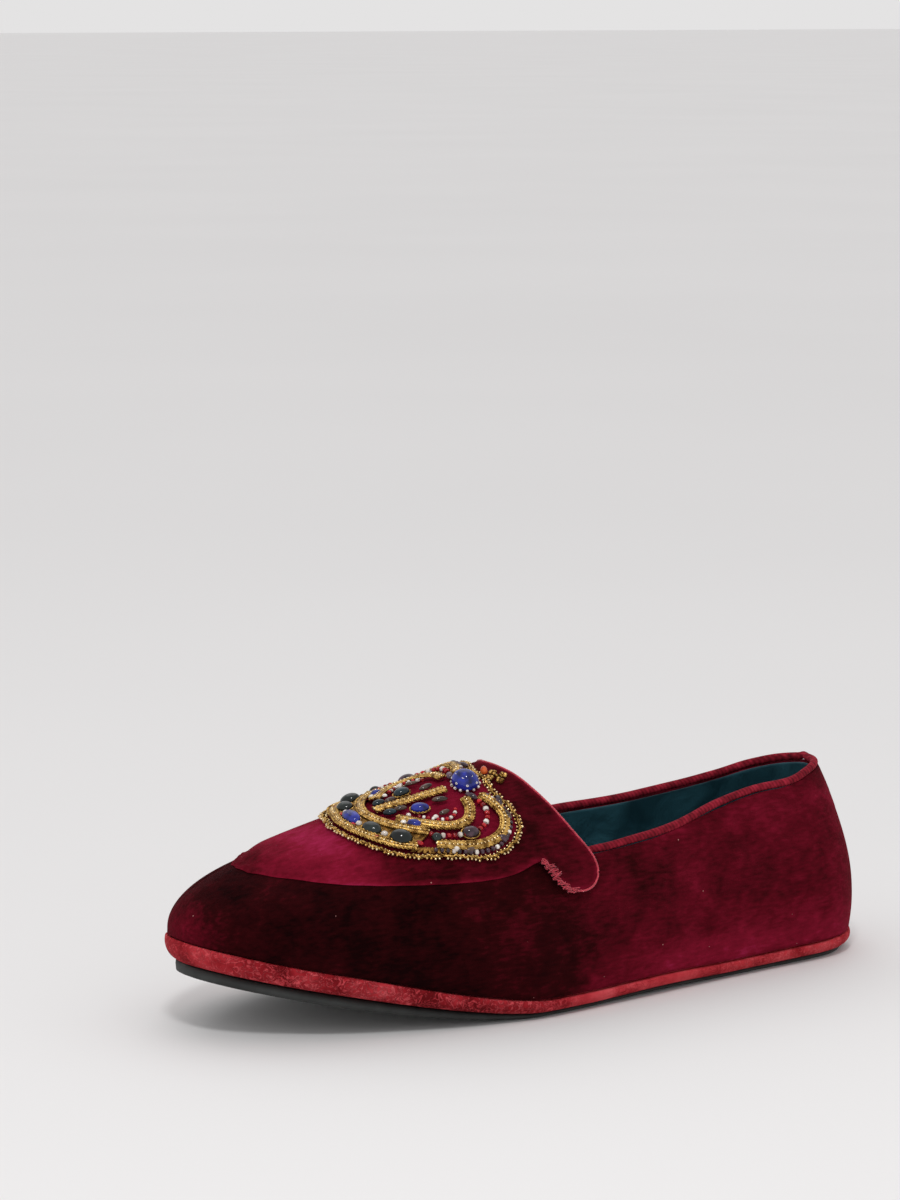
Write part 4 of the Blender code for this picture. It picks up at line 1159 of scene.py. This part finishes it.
def make_binding():
    """The topline's tape, its ends drawn in under the tongue."""
    binding = smooth_copy("collar_binding", "collar_tape", levels=1, crease_angle=math.radians(80))
    for side in (-1, 1):
        half = [v for v in binding.data.vertices if v.co.y * side > 0 and v.co.x < TAPE_AHEAD]
        tip = min(v.co.x for v in half)
        end = [v for v in half if v.co.x < tip + TAPE_END]
        back = [v.co for v in half if tip + TAPE_BEHIND[0] < v.co.x < tip + TAPE_BEHIND[1]]
        middle = sum((v.co for v in end), Vector()) / len(end)
        way = (middle - sum(back, Vector()) / len(back)).normalized()
        tuck = way * TAPE_PUSH + Vector((0, -side * TAPE_TUCK, -TAPE_DROP))
        for point in end:
            point.co = middle + (point.co - middle) * TAPE_SHRINK + tuck
    dress(binding, TAPE_VELVET, "binding_velvet", "collar_binding")


def normal_at(skin, point):
    """The outward direction of the nearest skin, as away from the shoe's long axis."""
    way = skin.find_nearest(point)[1]
    return way if way.dot(point - Vector((point.x, 0, 0.03))) > 0 else -way


def make_trim(apron, edge):
    """Corded edge of the tabs and tongue, and the loose bar of thread that tacks each tab down."""
    skin = skin_of(apron)
    fine = even_points(edge, pitch=0.5 * MM)
    front = next(i for i, p in enumerate(fine) if p.x < PLUG_X)
    fine = [p for p in fine[front:] + fine[:front] if p.x > CORD_FRONT]
    runs = [[]]
    for point in fine:
        if runs[-1] and (point - runs[-1][-1]).length > CORD_GAP:
            runs.append([])
        # The cord lies close to the smooth skin, not out on the solid's sharper rim
        foot = skin.find_nearest(point)[0]
        runs[-1].append(foot + (point - foot) * 0.4 + normal_at(skin, foot) * 0.15 * MM)
    lines = [run for run in runs if len(run) > SHORTEST_RUN]
    cord = drawn("apron_edge_trim", lines, radius=0.42 * MM, ribs=0.2, fineness=1)
    dress(cord, THREAD, "binding_velvet")
    dice = random.Random(4)
    loops = []
    for side in (-1, 1):
        half = [p for line in lines for p in line if p.y * side > 0]
        path = even_points([p for p in half if p.z < TACK_TOP and p.x < TACK_BACK], pitch=0.3 * MM)
        for strand in range(TACK_STRANDS):
            line = []
            for i, p in enumerate(path):
                # Each strand has its own beat, so that they cross
                beat = i * (0.8 + 0.17 * strand)
                lift = TACK_LIFT + TACK_WAVE * math.cos(beat + strand) + TACK_CHANCE * dice.random()
                sway = TACK_SWAY * math.sin(beat + strand * 2.0) - 0.2
                stray = Vector((sway * MM, 0, 0.5 * MM * dice.uniform(-1, 1)))
                line.append(p + normal_at(skin, p) * lift * MM + stray)
            loops.append(line)
    tack = drawn("tab_bar_tack", loops, radius=0.2 * MM, fineness=1)
    dress(tack, THREAD, "binding_velvet")


def make_stage():
    """A pale floor and sky, a wide weak sun from behind and a small light in front for the highlights."""
    bpy.ops.mesh.primitive_plane_add(size=80.0, location=(0, 0, 0))
    floor = bpy.context.object
    floor.name = "studio_floor"
    floor.data.materials.append(floor_paint())
    world = bpy.data.worlds.new("studio")
    bpy.context.scene.world = world
    world.use_nodes = True
    sky = world.node_tree.nodes["Background"]
    sky.inputs["Color"].default_value = linear("e5e4e4")
    sky.inputs["Strength"].default_value = 0.99
    bpy.context.scene.view_settings.view_transform = "Standard"
    for name, kind, place, size, power in (
        ("soft_sun", "SUN", (0.5, 1.1, 1.9), math.radians(50), 0.42),
        ("catch_light", "AREA", (-0.55, -0.75, 1.3), 0.22, 6.0),
    ):
        lamp = bpy.data.lights.new(name, kind)
        lamp.energy = power
        if kind == "SUN":
            lamp.angle = size
        else:
            lamp.size = size
        holder = bpy.data.objects.new(name, lamp)
        holder.location = place
        holder.rotation_euler = (TARGET - Vector(place)).to_track_quat("-Z", "Y").to_euler()
        bpy.context.scene.collection.objects.link(holder)


def make_camera():
    """The photo's view of the shoe."""
    turn, rise = math.radians(CAMERA_AZIMUTH), math.radians(CAMERA_ELEVATION)
    back = Vector((math.sin(turn) * math.cos(rise), -math.cos(turn) * math.cos(rise), math.sin(rise)))
    right = Vector((math.cos(turn), math.sin(turn), 0))
    up = back.cross(right)
    lens = bpy.data.cameras.new("camera")
    lens.lens = FOCAL_LENGTH
    camera = bpy.data.objects.new("camera", lens)
    camera.location = TARGET + back * CAMERA_DISTANCE
    aim = TARGET - right * AIM_LEFT + up * AIM_UP
    camera.rotation_euler = (aim - camera.location).to_track_quat("-Z", "Y").to_euler()
    bpy.context.scene.collection.objects.link(camera)
    bpy.context.scene.camera = camera


def main():
    upper = make_upper()
    apron, edge = make_apron(upper)
    make_trim(apron, edge)
    make_sole()
    make_binding()
    make_crown(upper, apron)
    make_stage()
    make_camera()


main()
